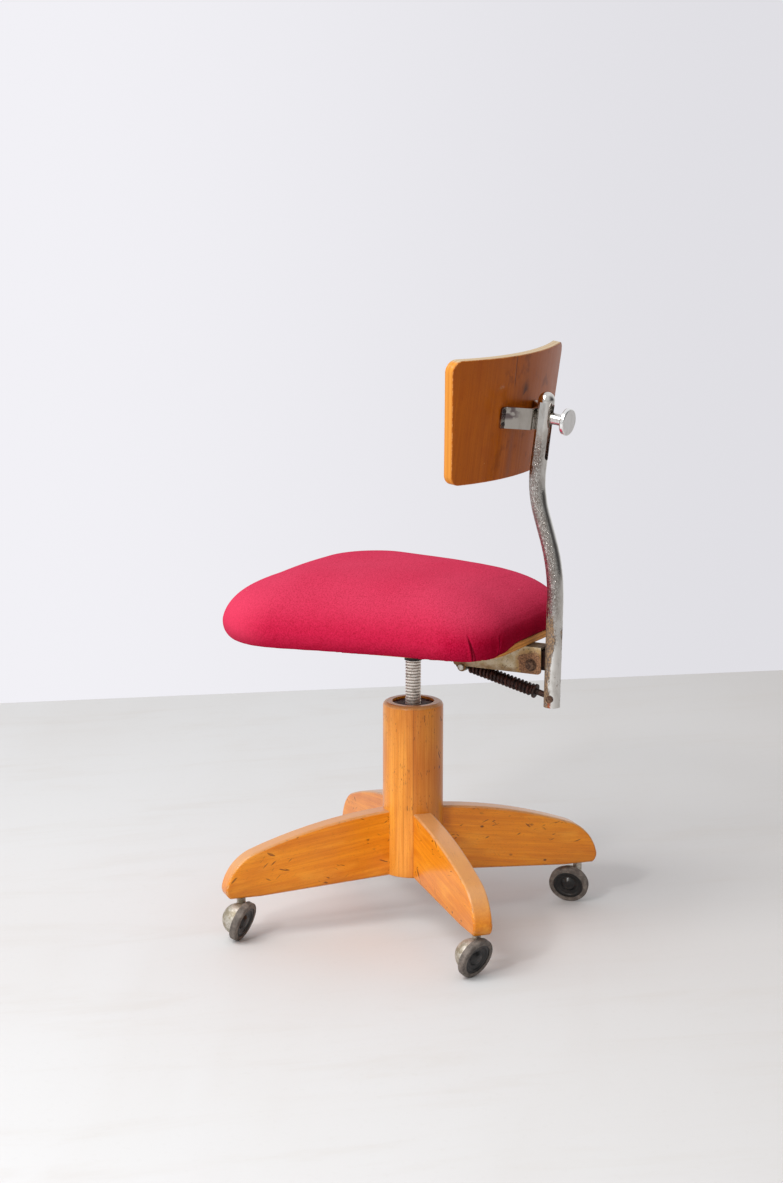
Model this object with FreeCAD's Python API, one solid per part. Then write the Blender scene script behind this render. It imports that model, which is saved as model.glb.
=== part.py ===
import FreeCAD
import Part
import math
import os

from FreeCAD import Placement, Rotation, Vector

# Bankers swivel chair, in millimetres. The floor is z = 0, the column stands on the Z axis,
# the seat faces -Y and the chair's left hand is +X.

# Base: a turned column with four legs let into it
caster_height = 57.5
column_radius = 40.0
column_bottom = 69.0
column_top = 302.0
column_rim_round = 6.0
column_foot_round = 1.5
column_bore_radius = 13.0
column_bore_spare = 17.0
leg_count = 4
first_leg_turn = 47.3
leg_thickness = 26.0
leg_root_height = 157.0
leg_reach = 262.5
leg_tip_flat = 47.0
leg_nose_height = 13.0
leg_cheek_back = 11.6
leg_cheek_share = 0.392
leg_brow_back = 38.5
leg_brow_share = 0.598
leg_shoulder_back = 127.5
leg_shoulder_share = 0.862
leg_edge_round = 3.5
leg_inset = 30.0
tenon_thickness = 11.0
tenon_depth = 20.0
tenon_bottom = 88.0
tenon_height = 50.0

# Screw spindle and the flanged nut in the top of the column
spindle_radius = 10.3
thread_pitch = 4.0
thread_depth = 0.9
spindle_below_nut = 32.0
running_clearance = 0.06
nut_flange_radius = 27.8
nut_flange_thickness = 4.0
nut_recess = 3.0
nut_sleeve_radius = 17.0
nut_sleeve_length = 42.0
nut_lead_in = 2.0
nut_screw_count = 3
nut_screw_circle = 22.5
nut_screw_radius = 2.2
nut_screw_head_radius = 3.6
nut_screw_length = 22.0
nut_slot_radius = 2.8
seat_lift_down = 50.0
seat_lift_up = 70.0

# Buffer ring under the seat iron
buffer_radius = 11.6
buffer_thickness = 4.2
buffer_clearance = 0.1
body_gap = 0.3

# Seat iron: a square plate with a hub that holds the spindle's tenon
iron_side = 112.0
iron_thickness = 4.0
iron_corner_round = 12.0
iron_hub_radius = 17.0
iron_hub_drop = 34.0
iron_hub_round = 2.0
spindle_tenon_radius = 7.5
wood_screw_radius = 2.5
wood_screw_head_radius = 4.6
wood_screw_head_height = 2.6
wood_screw_length = 11.0
iron_screw_inset = 14.0

# Seat: plywood board, foam pad and fabric cover on one rounded trapezium
seat_front = -223.0
seat_rear = 175.0
seat_front_half = 197.0
seat_rear_half = 140.0
seat_front_corner = 92.0
seat_rear_corner = 74.0
seat_centre = -24.0
board_bottom = 396.0
board_thickness = 10.0
board_edge_round = 2.0
board_share = 0.935
board_rear = 171.0
board_rear_corner = 66.0
cover_thickness = 2.0
cover_hem = 1.6
hem_share = 0.95
bulge_rise = 16.5
pad_height = 56.5
crown_rise = 12.0
crown_power = 5.0
crown_shares = (0.985, 0.95, 0.89, 0.80, 0.66, 0.45, 0.22)

# Bracket: an inverted channel under the board that carries the post
bracket_front = 66.0
bracket_rear = 191.5
bracket_half = 14.3
bracket_wall = 2.5
bracket_bottom = 360.5
bracket_corner_round = 5.0
ear_radius = 6.0
bracket_screw_spread = 62.0

# Post: a bent tube hinged in the bracket, with its top leaning back
post_radius = 10.65
post_wall = 1.6
post_foot_z = 317.0
post_foot_y = 201.3
post_knee_z = 497.0
post_knee_y = 205.3
post_neck_z = 597.0
post_neck_y = 174.7
back_lean = 7.0
post_top_z = 714.0
knee_radius = 250.0
neck_radius = 140.0
post_flat_depth = 0.9
post_flat_bottom_z = 630.0
pivot_y = 177.5
pivot_z = 372.5
pivot_bolt_radius = 4.0
pivot_head_radius = 6.0
pivot_head_height = 3.6
pivot_washer_radius = 7.4
pivot_washer_thickness = 1.2
nut_across_flats = 13.0
nut_height = 6.5
lug_hub_radius = 9.0
lug_half = 10.8
lug_web_half = 6.0
lug_top_z = 391.0
lug_bottom_z = 365.5

# Spring rod: an eye on a pin in the post's foot, a collar, a coil spring and a trunnion
rod_pin_z = 329.0
rod_pin_offset = 1.5
rod_pin_radius = 3.5
rod_pin_head_radius = 4.7
rod_pin_head_height = 2.0
rod_radius = 4.0
rod_eye_radius = 6.0
rod_eye_half = 4.0
rod_window_half = 5.2
rod_window_above = 10.0
rod_window_below = 7.0
trunnion_y = 78.0
trunnion_z = 359.0
trunnion_radius = 6.5
trunnion_journal_radius = 3.0
trunnion_head_radius = 4.2
trunnion_head_height = 2.4
trunnion_bore_clearance = 0.6
collar_seat = 24.6
collar_radius = 9.4
collar_thickness = 3.0
rod_nut_flats = 12.0
rod_nut_height = 5.0
rod_tail = 2.0
spring_wire = 3.0
spring_outer_radius = 8.8
spring_coils = 17

# Stud, knob, strap and the bent plywood back
stud_y = 188.2
stud_z = 692.5
back_skew = -3.5
stud_radius = 4.0
stud_head_radius = 8.5
stud_head_height = 3.5
stud_tip = 10.0
slot_half = 5.2
slot_end_gap = 0.5
back_up = 13.0
back_down = 50.0
knob_washer_radius = 7.6
knob_washer_thickness = 1.2
knob_neck_radius = 7.3
knob_neck_length = 17.2
knob_radius = 17.5
knob_thickness = 6.5
knob_rim_round = 2.0
strap_height = 27.5
strap_drop = 4.0
strap_thickness = 2.5
strap_web_half = 12.5
strap_flange_reach = 46.0
strap_flange_length = 10.0
strap_bend_round = 1.5
strap_end_round = 4.0
strap_screw_edge = 5.5
strap_screw_radius = 1.9
strap_screw_head_radius = 3.2
strap_screw_head_height = 1.2
strap_screw_length = 8.5
back_offset = 36.7
back_drop = 6.0
back_height = 160.0
back_top_half = 146.0
back_bottom_half = 124.0
back_bend_radius = 439.0
back_thickness = 12.0
back_corner_round = 15.0
back_edge_round = 1.5

# Casters: a swivelling half-ball hood with a leaning rubber-tyred disc
stem_from_tip = 23.5
socket_radius = 6.5
socket_depth = 34.0
stem_radius = 4.0
stem_gap = 0.3
stem_neck_radius = 5.8
stem_top_gap = 1.0
stem_foot_rise = 13.0
wheel_lean = 18.5
wheel_radius = 27.0
wheel_width = 10.0
tyre_depth = 6.5
tyre_round = 2.2
caster_trail = 10.0
wheel_offset = 7.0
hood_radius = 21.6
hood_setback = 6.2
hood_wall = 2.4
hood_to_wheel = 0.8
hood_boss_radius = 6.5
axle_radius = 3.0
wheel_web = 3.0
hub_radius = 9.5
hub_dome_rise = 3.2
face_step_radius = 15.5
face_step_depth = 1.2
caster_turns = (73.9, 11.9, 57.0, 93.8)

stem_circle = leg_reach - stem_from_tip

Z_AXIS = Vector(0, 0, 1)
X_AXIS = Vector(1, 0, 0)
ORIGIN = Vector(0, 0, 0)


def line(a, b):
    return Part.LineSegment(a, b).toShape()


def arc(a, middle, b):
    return Part.Arc(a, middle, b).toShape()


def cylinder(radius, start, end):
    axis = end.sub(start)
    return Part.makeCylinder(radius, axis.Length, start, axis)


def across(radius, x0, x1, y, z):
    """A round bar that runs along X."""
    return cylinder(radius, Vector(x0, y, z), Vector(x1, y, z))


def block(x0, x1, y0, y1, z0, z1):
    return Part.makeBox(x1 - x0, y1 - y0, z1 - z0, Vector(x0, y0, z0))


def turned(points):
    """A solid of revolution from (radius, height) points about the Z axis."""
    corners = [Vector(r, 0, z) for r, z in points]
    edges = [line(a, b) for a, b in zip(corners, corners[1:] + corners[:1])]
    return Part.Face(Part.Wire(edges)).revolve(ORIGIN, Z_AXIS, 360)


def along(shape, base, direction):
    """Moves a shape that was made along +Z so that it starts at base and runs along direction."""
    placed = shape.copy()
    placed.Placement = Placement(base, Rotation(Z_AXIS, direction)).multiply(placed.Placement)
    return placed


def hexagon(flats, height):
    corner = flats / math.sqrt(3.0)
    points = [Vector(corner * math.cos(math.radians(60 * i)), corner * math.sin(math.radians(60 * i)), 0)
              for i in range(6)]
    edges = [line(a, b) for a, b in zip(points, points[1:] + points[:1])]
    return Part.Face(Part.Wire(edges)).extrude(Vector(0, 0, height))


def rounded(shape, radius, wanted):
    """Rounds the edges of a shape for which wanted(edge) is true."""
    return shape.makeFillet(radius, [edge for edge in shape.Edges if wanted(edge)])


def group(solids):
    return Part.makeCompound(solids)


def polar(radius, degrees, z=0.0):
    turn = math.radians(degrees)
    return Vector(radius * math.cos(turn), radius * math.sin(turn), z)


def spun(shape, degrees):
    copy = shape.copy()
    copy.rotate(ORIGIN, Z_AXIS, degrees)
    return copy


# Levels that follow from the sizes above
nut_top = column_top - nut_recess
nut_bottom = nut_top - nut_flange_thickness - nut_sleeve_length
spindle_bottom = nut_bottom - spindle_below_nut - seat_lift_up
bore_floor = spindle_bottom - seat_lift_down - column_bore_spare


# Base
def tenon():
    """The leg's tenon, or with the same sizes its mortise, for a leg along +X."""
    return block(column_radius - tenon_depth, column_radius + 1.0, -tenon_thickness / 2, tenon_thickness / 2,
                 tenon_bottom, tenon_bottom + tenon_height)


def leg_side():
    """The side of a leg along +X: level at the tip, rising to the column on the underside."""
    def p(r, z):
        return Vector(r, -leg_thickness / 2, z)
    rise = leg_root_height - caster_height
    root = leg_inset
    tip_low = p(leg_reach - 6.0, caster_height)
    nose = p(leg_reach, caster_height + leg_nose_height)
    cheek = p(leg_reach - leg_cheek_back, caster_height + leg_cheek_share * rise)
    brow = p(leg_reach - leg_brow_back, caster_height + leg_brow_share * rise)
    shoulder = p(leg_reach - leg_shoulder_back, caster_height + leg_shoulder_share * rise)
    edges = [
        line(p(root, column_bottom), p(leg_reach - leg_tip_flat, caster_height)),
        line(p(leg_reach - leg_tip_flat, caster_height), tip_low),
        arc(tip_low, p(leg_reach - 1.6, caster_height + 4.6), nose),
        arc(nose, cheek, brow),
        arc(brow, shoulder, p(root, leg_root_height + 1.0)),
        line(p(root, leg_root_height + 1.0), p(root, column_bottom)),
    ]
    return Part.Face(Part.Wire(edges))


def leg():
    solid = leg_side().extrude(Vector(0, leg_thickness, 0))

    def long_edge(edge):
        box = edge.BoundBox
        return box.YLength < 0.01 and box.XMax > leg_inset + 1.0
    solid = rounded(solid, leg_edge_round, long_edge)
    solid = solid.cut(Part.makeCylinder(column_radius, column_top))
    return solid.fuse(tenon()).removeSplitter()


def socket_hole():
    return cylinder(socket_radius, Vector(stem_circle, 0, caster_height),
                    Vector(stem_circle, 0, caster_height + socket_depth))


def caster_socket():
    bore_depth = socket_depth - stem_top_gap
    bore = cylinder(stem_radius + running_clearance, Vector(stem_circle, 0, caster_height),
                    Vector(stem_circle, 0, caster_height + bore_depth))
    return socket_hole().cut(bore)


def column():
    solid = Part.makeCylinder(column_radius, column_top - column_bottom, Vector(0, 0, column_bottom))
    solid = rounded(solid, column_rim_round, lambda e: abs(e.BoundBox.ZMin - column_top) < 0.01)
    solid = rounded(solid, column_foot_round, lambda e: abs(e.BoundBox.ZMax - column_bottom) < 0.01)
    recess_floor = nut_top - nut_flange_thickness
    cuts = [
        cylinder(nut_flange_radius, Vector(0, 0, recess_floor), Vector(0, 0, column_top)),
        cylinder(nut_sleeve_radius, Vector(0, 0, nut_bottom), Vector(0, 0, column_top)),
        cylinder(column_bore_radius, Vector(0, 0, bore_floor), Vector(0, 0, column_top)),
    ]
    for i in range(leg_count):
        cuts.append(spun(tenon(), first_leg_turn + i * 360.0 / leg_count))
    for i in range(nut_screw_count):
        cuts.append(nut_screw(i))
    for cut in cuts:
        solid = solid.cut(cut)
    return solid


def nut_screw(i):
    """A countersunk wood screw through the flange of the spindle nut."""
    place = polar(nut_screw_circle, 90.0 + i * 360.0 / nut_screw_count)
    top = nut_top
    sink = nut_screw_head_radius - nut_screw_radius
    screw = turned([(0, top - nut_screw_length), (nut_screw_radius, top - nut_screw_length + 4.0),
                    (nut_screw_radius, top - sink), (nut_screw_head_radius, top), (0, top)])
    screw.translate(place)
    return screw


def spindle_nut():
    top = nut_top
    bottom = top - nut_flange_thickness
    bore = spindle_radius + running_clearance
    nut = turned([
        (bore, nut_bottom), (nut_sleeve_radius, nut_bottom),
        (nut_sleeve_radius, bottom), (nut_flange_radius, bottom), (nut_flange_radius, top),
        (bore + nut_lead_in, top), (bore, top - nut_lead_in)])
    for i in range(nut_screw_count):
        nut = nut.cut(nut_screw(i))
        slot_place = polar(nut_screw_circle, 30.0 + i * 360.0 / nut_screw_count, bottom)
        nut = nut.cut(cylinder(nut_slot_radius, slot_place, slot_place + Vector(0, 0, nut_flange_thickness)))
    return nut


# Spindle and seat iron
iron_bottom = board_bottom - iron_thickness
hub_bottom = board_bottom - iron_hub_drop
buffer_top = hub_bottom - body_gap
buffer_bottom = buffer_top - buffer_thickness


def spindle():
    """The screw: rings at the thread's pitch, with a plain tenon for the seat iron's hub."""
    smooth_from = buffer_bottom - 1.0
    points = [(0, spindle_bottom), (spindle_radius - thread_depth, spindle_bottom)]
    z = spindle_bottom + thread_pitch
    while z < smooth_from:
        points += [(spindle_radius - thread_depth, z - 0.74 * thread_pitch),
                   (spindle_radius, z - 0.60 * thread_pitch),
                   (spindle_radius, z - 0.14 * thread_pitch), (spindle_radius - thread_depth, z)]
        z += thread_pitch
    points += [(spindle_radius, smooth_from), (spindle_radius, hub_bottom),
               (spindle_tenon_radius, hub_bottom),
               (spindle_tenon_radius, board_bottom), (0, board_bottom)]
    return turned(points)


def buffer_ring():
    inner = spindle_radius + buffer_clearance
    ring = turned([(inner, buffer_bottom), (buffer_radius, buffer_bottom), (buffer_radius, buffer_top),
                   (inner, buffer_top)])
    return ring


def iron_screw(i):
    offset = iron_side / 2 - iron_screw_inset
    corner = Vector(offset if i % 2 else -offset, offset if i // 2 else -offset, iron_bottom)
    return wood_screw(corner)


def wood_screw(seat):
    """A round-head screw driven upwards from the point seat."""
    head = turned([(0, -wood_screw_head_height), (0.6 * wood_screw_head_radius, -wood_screw_head_height),
                   (0.92 * wood_screw_head_radius, -0.55 * wood_screw_head_height),
                   (wood_screw_head_radius, 0),
                   (wood_screw_radius, 0), (wood_screw_radius, wood_screw_length - 2.0),
                   (0, wood_screw_length)])
    head.translate(seat)
    return head


def iron_plate():
    half = iron_side / 2
    plate = block(-half, half, -half, half, iron_bottom, board_bottom)
    return rounded(plate, iron_corner_round, lambda e: e.BoundBox.ZLength > iron_thickness / 2)


def seat_iron():
    hub = cylinder(iron_hub_radius, Vector(0, 0, hub_bottom), Vector(0, 0, iron_bottom + 1.0))
    hub = rounded(hub, iron_hub_round, lambda e: abs(e.BoundBox.ZMax - hub_bottom) < 0.01)
    iron = iron_plate().fuse(hub).removeSplitter()
    iron = iron.cut(cylinder(spindle_tenon_radius, Vector(0, 0, hub_bottom), Vector(0, 0, board_bottom)))
    for i in range(4):
        iron = iron.cut(iron_screw(i))
    return iron


# Seat
def rounded_outline(corners, radii):
    """A closed outline through four corners, each rounded to its own radius."""
    starts, middles, ends = [], [], []
    for i, here in enumerate(corners):
        back = corners[i - 1].sub(here).normalize()
        ahead = corners[(i + 1) % 4].sub(here).normalize()
        half = math.acos(back.dot(ahead)) / 2
        bisector = back.add(ahead).normalize()
        centre = here + bisector * (radii[i] / math.sin(half))
        reach = radii[i] / math.tan(half)
        starts.append(here + back * reach)
        ends.append(here + ahead * reach)
        middles.append(centre - bisector * radii[i])
    edges = []
    for i in range(4):
        edges.append(arc(starts[i], middles[i], ends[i]))
        edges.append(line(ends[i], starts[(i + 1) % 4]))
    return Part.Wire(edges)


def seat_outline(share, z, shrink=0.0):
    """The rounded trapezium of the seat at height z, scaled by share about the seat's centre."""
    def corner(x, y):
        inner_x = x * share - math.copysign(shrink, x)
        inner_y = seat_centre + (y - seat_centre) * share - math.copysign(shrink, y - seat_centre)
        return Vector(inner_x, inner_y, z)
    corners = [corner(-seat_front_half, seat_front), corner(seat_front_half, seat_front),
               corner(seat_rear_half, seat_rear), corner(-seat_rear_half, seat_rear)]
    front, rear = seat_front_corner * share, seat_rear_corner * share
    return rounded_outline(corners, [front, front, rear, rear])


def board_outline():
    """The board's own outline: inside the cover at the front and sides, and out to board_rear behind."""
    def half_at(y):
        narrowing = (seat_front_half - seat_rear_half) / (seat_rear - seat_front)
        return seat_front_half - narrowing * (y - seat_front)
    front = seat_centre + (seat_front - seat_centre) * board_share
    front_half = half_at(seat_front) * board_share
    rear_half = half_at(board_rear) * board_share
    corners = [Vector(-front_half, front, board_bottom), Vector(front_half, front, board_bottom),
               Vector(rear_half, board_rear, board_bottom), Vector(-rear_half, board_rear, board_bottom)]
    front_corner = seat_front_corner * board_share
    return rounded_outline(corners, [front_corner, front_corner, board_rear_corner, board_rear_corner])


def crown_height(share):
    edge = math.sqrt(1.0 - share ** crown_power)
    return board_bottom + cover_hem + bulge_rise + pad_height * edge + crown_rise * (1.0 - share * share)


def cushion(shrink):
    """The crowned pad: drawn in at the hem, fullest above it, domed on top. shrink draws it all in."""
    hem = board_bottom + cover_hem
    sections = [(hem_share, hem), (0.98, hem + 0.4 * bulge_rise), (1.0, hem + bulge_rise)]
    sections += [(share, crown_height(share)) for share in crown_shares]
    wires = []
    for share, z in sections:
        top_drop = shrink if z > hem + bulge_rise else 0.0
        wires.append(seat_outline(share, z - top_drop, shrink))
    return Part.makeLoft(wires, True, False, False, 3)


def seat_board():
    board = board_room()
    board = rounded(board, board_edge_round, lambda e: abs(e.BoundBox.ZMax - board_bottom) < 0.01)
    for screw in [iron_screw(i) for i in range(4)] + bracket_screws():
        board = board.cut(screw)
    return board


def board_room():
    """The space that the board takes inside the cover."""
    return Part.Face(board_outline()).extrude(Vector(0, 0, board_thickness))


def seat_foam():
    above = block(-300, 300, -300, 300, board_bottom + board_thickness, 600)
    return cushion(cover_thickness).common(above)


def seat_cover():
    return cushion(0.0).cut(seat_foam()).cut(board_room())


# Bracket
def bracket_screws():
    middle = (bracket_front + bracket_rear) / 2 - 6.0
    seat_z = board_bottom - bracket_wall
    return [wood_screw(Vector(0, middle + side * bracket_screw_spread / 2, seat_z)) for side in (-1, 1)]


def bracket():
    top = board_bottom
    outer = block(-bracket_half, bracket_half, bracket_front, bracket_rear, bracket_bottom, top)
    outer = rounded(outer, bracket_corner_round,
                    lambda e: e.BoundBox.XLength > bracket_half and e.BoundBox.ZMax < bracket_bottom + 0.01)
    for side in (-1, 1):
        x0 = side * (bracket_half - bracket_wall / 2) - bracket_wall / 2
        outer = outer.fuse(across(ear_radius, x0, x0 + bracket_wall, trunnion_y, trunnion_z))
    inner = bracket_half - bracket_wall
    outer = outer.cut(block(-inner, inner, bracket_front - 1, bracket_rear + 1, bracket_bottom - 20,
                            top - bracket_wall))
    holes = [across(pivot_bolt_radius, -bracket_half, bracket_half, pivot_y, pivot_z),
             across(trunnion_journal_radius + running_clearance, -bracket_half, bracket_half,
                    trunnion_y, trunnion_z)]
    for cut in holes + bracket_screws():
        outer = outer.cut(cut)
    return outer.removeSplitter()


def pivot_bolt():
    head_seat = bracket_half + pivot_washer_thickness
    shank = across(pivot_bolt_radius, -bracket_half - nut_height - 1.5, head_seat, pivot_y, pivot_z)
    head = across(pivot_head_radius, head_seat, head_seat + pivot_head_height, pivot_y, pivot_z)
    head = rounded(head, 1.2, lambda e: e.BoundBox.XMin > head_seat + pivot_head_height - 0.01)
    return shank.fuse(head).removeSplitter()


def pivot_washer():
    washer = across(pivot_washer_radius, bracket_half, bracket_half + pivot_washer_thickness, pivot_y,
                    pivot_z)
    return washer.cut(across(pivot_bolt_radius, 0, 2 * bracket_half, pivot_y, pivot_z))


def pivot_nut():
    nut = along(hexagon(nut_across_flats, nut_height), Vector(-bracket_half, pivot_y, pivot_z),
                Vector(-1, 0, 0))
    return nut.cut(across(pivot_bolt_radius, -2 * bracket_half, 0, pivot_y, pivot_z))


# Post
lean = math.radians(back_lean)
up_post = Vector(0, math.sin(lean), math.cos(lean))
out_of_post = Vector(0, math.cos(lean), -math.sin(lean))


def bend(before, corner, after, radius):
    """The start, middle and end of the arc that rounds a corner of the post."""
    back = before.sub(corner).normalize()
    ahead = after.sub(corner).normalize()
    half = math.acos(max(-1.0, min(1.0, back.dot(ahead)))) / 2
    bisector = back.add(ahead).normalize()
    reach = radius / math.tan(half)
    centre = corner + bisector * (radius / math.sin(half))
    return corner + back * reach, centre - bisector * radius, corner + ahead * reach


post_foot = Vector(0, post_foot_y, post_foot_z)
post_knee = Vector(0, post_knee_y, post_knee_z)
post_neck = Vector(0, post_neck_y, post_neck_z)
post_top = post_neck + up_post * ((post_top_z - post_neck_z) / math.cos(lean))
foot_slope = (post_knee_y - post_foot_y) / (post_knee_z - post_foot_z)
rod_pin = Vector(0, post_foot_y + foot_slope * (rod_pin_z - post_foot_z) + rod_pin_offset, rod_pin_z)


def post_path():
    knee = bend(post_foot, post_knee, post_neck, knee_radius)
    neck = bend(post_knee, post_neck, post_top, neck_radius)
    return Part.Wire([line(post_foot, knee[0]), arc(*knee), line(knee[2], neck[0]), arc(*neck),
                      line(neck[2], post_top)])


def post_bar(radius):
    start = post_knee.sub(post_foot)
    ring = Part.Wire([Part.Circle(post_foot, start, radius).toShape()])
    return post_path().makePipeShell([ring], True, False)


def stud_at():
    """The point where the stud's axis meets the post's axis."""
    height = (stud_z - post_neck_z) / math.cos(lean)
    return post_neck + up_post * height


def post_slot():
    """The long hole through both walls of the post for the stud."""
    spare = stud_radius + slot_end_gap - slot_half
    low = stud_at() - up_post * (back_down + spare)
    high = stud_at() + up_post * (back_up + spare)
    reach = out_of_post * (post_radius + 5.0)
    slot = cylinder(slot_half, low - reach,
                    low + reach).fuse(cylinder(slot_half, high - reach, high + reach))
    web = Part.makeBox(2 * slot_half, 2 * reach.Length, (high - low).Length,
                       Vector(-slot_half, -reach.Length, 0))
    web = along(web, low, up_post)
    return slot.fuse(web)


def rod_window():
    """The opening in the front of the post's foot where the spring rod comes out."""
    return block(-rod_window_half, rod_window_half, rod_pin.y - 3 * post_radius, rod_pin.y,
                 rod_pin_z - rod_window_below, rod_pin_z + rod_window_above)


def post():
    tube = post_bar(post_radius).cut(post_bar(post_radius - post_wall))
    for side in (-1, 1):
        x0 = side * (post_radius - post_flat_depth)
        flat = block(min(x0, 2 * x0), max(x0, 2 * x0), post_neck_y - 60, post_neck_y + 80,
                     post_flat_bottom_z, post_top_z - 2.0)
        tube = tube.cut(flat)
    for cut in (post_slot(), rod_window(), across(rod_pin_radius, -20, 20, rod_pin.y, rod_pin.z)):
        tube = tube.cut(cut)
    return tube


def post_cap():
    """A domed plug in the top of the tube."""
    plug_depth = 3.0
    inner = post_radius - post_wall
    dome = Part.makeSphere(post_radius)
    dome = dome.cut(block(-20, 20, -20, 20, -20, 0))
    plug = Part.makeCylinder(inner, plug_depth, Vector(0, 0, -plug_depth))
    return along(dome.fuse(plug).removeSplitter(), post_top, up_post)


def pivot_lug():
    """The lug on the post's front, with the eye that turns on the pivot bolt."""
    hub = across(lug_hub_radius, -lug_half, lug_half, pivot_y, pivot_z)
    web = block(-lug_web_half, lug_web_half, pivot_y, rod_pin.y, lug_bottom_z, lug_top_z)
    web = rounded(web, 8.0, lambda e: e.BoundBox.XLength > lug_web_half
                  and e.BoundBox.ZMin > lug_top_z - 0.01
                  and e.BoundBox.YMax < pivot_y + 0.01)
    lug = hub.fuse(web).cut(post_bar(post_radius))
    return lug.cut(across(pivot_bolt_radius + running_clearance, -20, 20, pivot_y, pivot_z)).removeSplitter()


def rod_pin_solid():
    reach = post_radius + rod_pin_head_height
    pin = across(rod_pin_radius, -reach, reach, rod_pin.y, rod_pin.z)
    for side in (-1, 1):
        head = across(rod_pin_head_radius, side * (post_radius - 1.2), side * reach, rod_pin.y, rod_pin.z)
        pin = pin.fuse(head.cut(post_bar(post_radius)))
    return pin.removeSplitter()


# Spring rod, made along +Z from the pin and then laid along its axis
trunnion_at = Vector(0, trunnion_y, trunnion_z)
rod_axis = trunnion_at.sub(rod_pin)
rod_length = rod_axis.Length
spring_start = collar_seat + collar_thickness + body_gap
spring_end = rod_length - trunnion_radius - body_gap
spring_mean_radius = spring_outer_radius - spring_wire / 2
spring_rise = spring_end - spring_start - spring_wire
spring_pitch = spring_rise / spring_coils


def spring_rod():
    eye = cylinder(rod_eye_radius, Vector(-rod_eye_half, 0, 0), Vector(rod_eye_half, 0, 0))
    tail = rod_length + trunnion_radius + body_gap + rod_nut_height + rod_tail
    rod = eye.fuse(cylinder(rod_radius, Vector(0, 0, 0), Vector(0, 0, tail))).removeSplitter()
    bore = cylinder(rod_pin_radius + running_clearance, Vector(-10, 0, 0), Vector(10, 0, 0))
    return along(rod.cut(bore), rod_pin, rod_axis)


def spring_collar():
    collar = Part.makeCylinder(collar_radius, collar_thickness, Vector(0, 0, collar_seat))
    collar = rounded(collar, 0.8, lambda e: e.BoundBox.ZLength < 0.01)
    hole = Part.makeCylinder(rod_radius, 2 * collar_thickness + 4, Vector(0, 0, collar_seat - 2))
    return along(collar.cut(hole), rod_pin, rod_axis)


def rod_nut():
    seat = rod_length + trunnion_radius + body_gap
    nut = hexagon(rod_nut_flats, rod_nut_height)
    nut.translate(Vector(0, 0, seat))
    return along(nut.cut(Part.makeCylinder(rod_radius, rod_nut_height, Vector(0, 0, seat))), rod_pin,
                 rod_axis)


def helix_point(turn):
    angle = 2 * math.pi * turn
    return Vector(spring_mean_radius * math.cos(angle), spring_mean_radius * math.sin(angle),
                  spring_start + spring_wire / 2 + spring_pitch * turn)


def helix_tangent(turn):
    angle = 2 * math.pi * turn
    around = 2 * math.pi * spring_mean_radius
    return Vector(-around * math.sin(angle), around * math.cos(angle), spring_pitch).normalize()


def tangent_arc(start, tangent, end):
    """The arc from start to end that leaves start along tangent."""
    chord = end.sub(start)
    direction = Vector(chord).normalize()
    aside = tangent.sub(direction * tangent.dot(direction)).normalize()
    half = math.acos(max(-1.0, min(1.0, tangent.dot(direction))))
    return arc(start, start + chord * 0.5 + aside * (chord.Length / 2 * math.tan(half / 2)), end)


def biarc(start, leaving, end, arriving):
    """Two arcs that join two points with given directions and meet smoothly."""
    chord = end.sub(start)
    both = leaving.add(arriving)
    spread = 2 * (1 - leaving.dot(arriving))
    along_both = chord.dot(both)
    reach = (-along_both + math.sqrt(along_both ** 2 + spread * chord.dot(chord))) / spread
    join = (start + end + (leaving - arriving) * reach) * 0.5
    first = tangent_arc(start, leaving, join)
    last = tangent_arc(end, arriving * -1, join)
    return [first, Part.Arc(end, last.valueAt((last.FirstParameter + last.LastParameter) / 2),
                            join).toShape()]


def tilt_spring():
    """One unbroken wire in spring_coils turns, each half turn a pair of arcs."""
    edges = []
    for i in range(2 * spring_coils):
        a, b = i / 2.0, (i + 1) / 2.0
        edges += biarc(helix_point(a), helix_tangent(a), helix_point(b), helix_tangent(b))
    path = Part.Wire(edges)
    ring = Part.Wire([Part.Circle(helix_point(0), helix_tangent(0), spring_wire / 2).toShape()])
    wire = path.makePipeShell([ring], True, False)
    print("spring: least gap between turns %.2f mm" % spring_gap())
    return along(wire, rod_pin, rod_axis)


def spring_gap():
    """The least gap of the wire to itself, over points one turn or more apart."""
    steps = 36
    points = [helix_point(i / steps) for i in range(spring_coils * steps + 1)]
    least = min(points[i].distanceToPoint(points[j])
                for i in range(2 * steps)
                for j in range(i + 3 * steps // 4, min(len(points), i + 2 * steps)))
    return least - spring_wire


def trunnion():
    inner = bracket_half - bracket_wall - body_gap
    outer = bracket_half + body_gap
    pin = across(trunnion_radius, -inner, inner, trunnion_y, trunnion_z)
    pin = pin.fuse(across(trunnion_journal_radius, -outer, outer, trunnion_y, trunnion_z))
    for side in (-1, 1):
        head = across(trunnion_head_radius, side * outer, side * (outer + trunnion_head_height),
                      trunnion_y, trunnion_z)
        head = rounded(head, 1.0, lambda e: abs(e.BoundBox.XMin) > outer + trunnion_head_height - 0.01
                       and e.BoundBox.XLength < 0.01)
        pin = pin.fuse(head)
    hole = Part.makeCylinder(rod_radius + trunnion_bore_clearance, 4 * trunnion_radius,
                             Vector(0, 0, rod_length - 2 * trunnion_radius))
    return pin.cut(along(hole, rod_pin, rod_axis)).removeSplitter()


# Back: made in its own frame, with Y out of the post along the stud and Z up the post
def back_place(shape):
    placed = shape.copy()
    turn = Rotation(X_AXIS, -back_lean).multiply(Rotation(Z_AXIS, back_skew))
    placed.Placement = Placement(stud_at(), turn).multiply(placed.Placement)
    return placed


board_face_y = -back_offset
bend_centre_y = board_face_y - back_bend_radius
web_rear_y = -post_radius - body_gap
web_front_y = web_rear_y - strap_thickness


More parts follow.
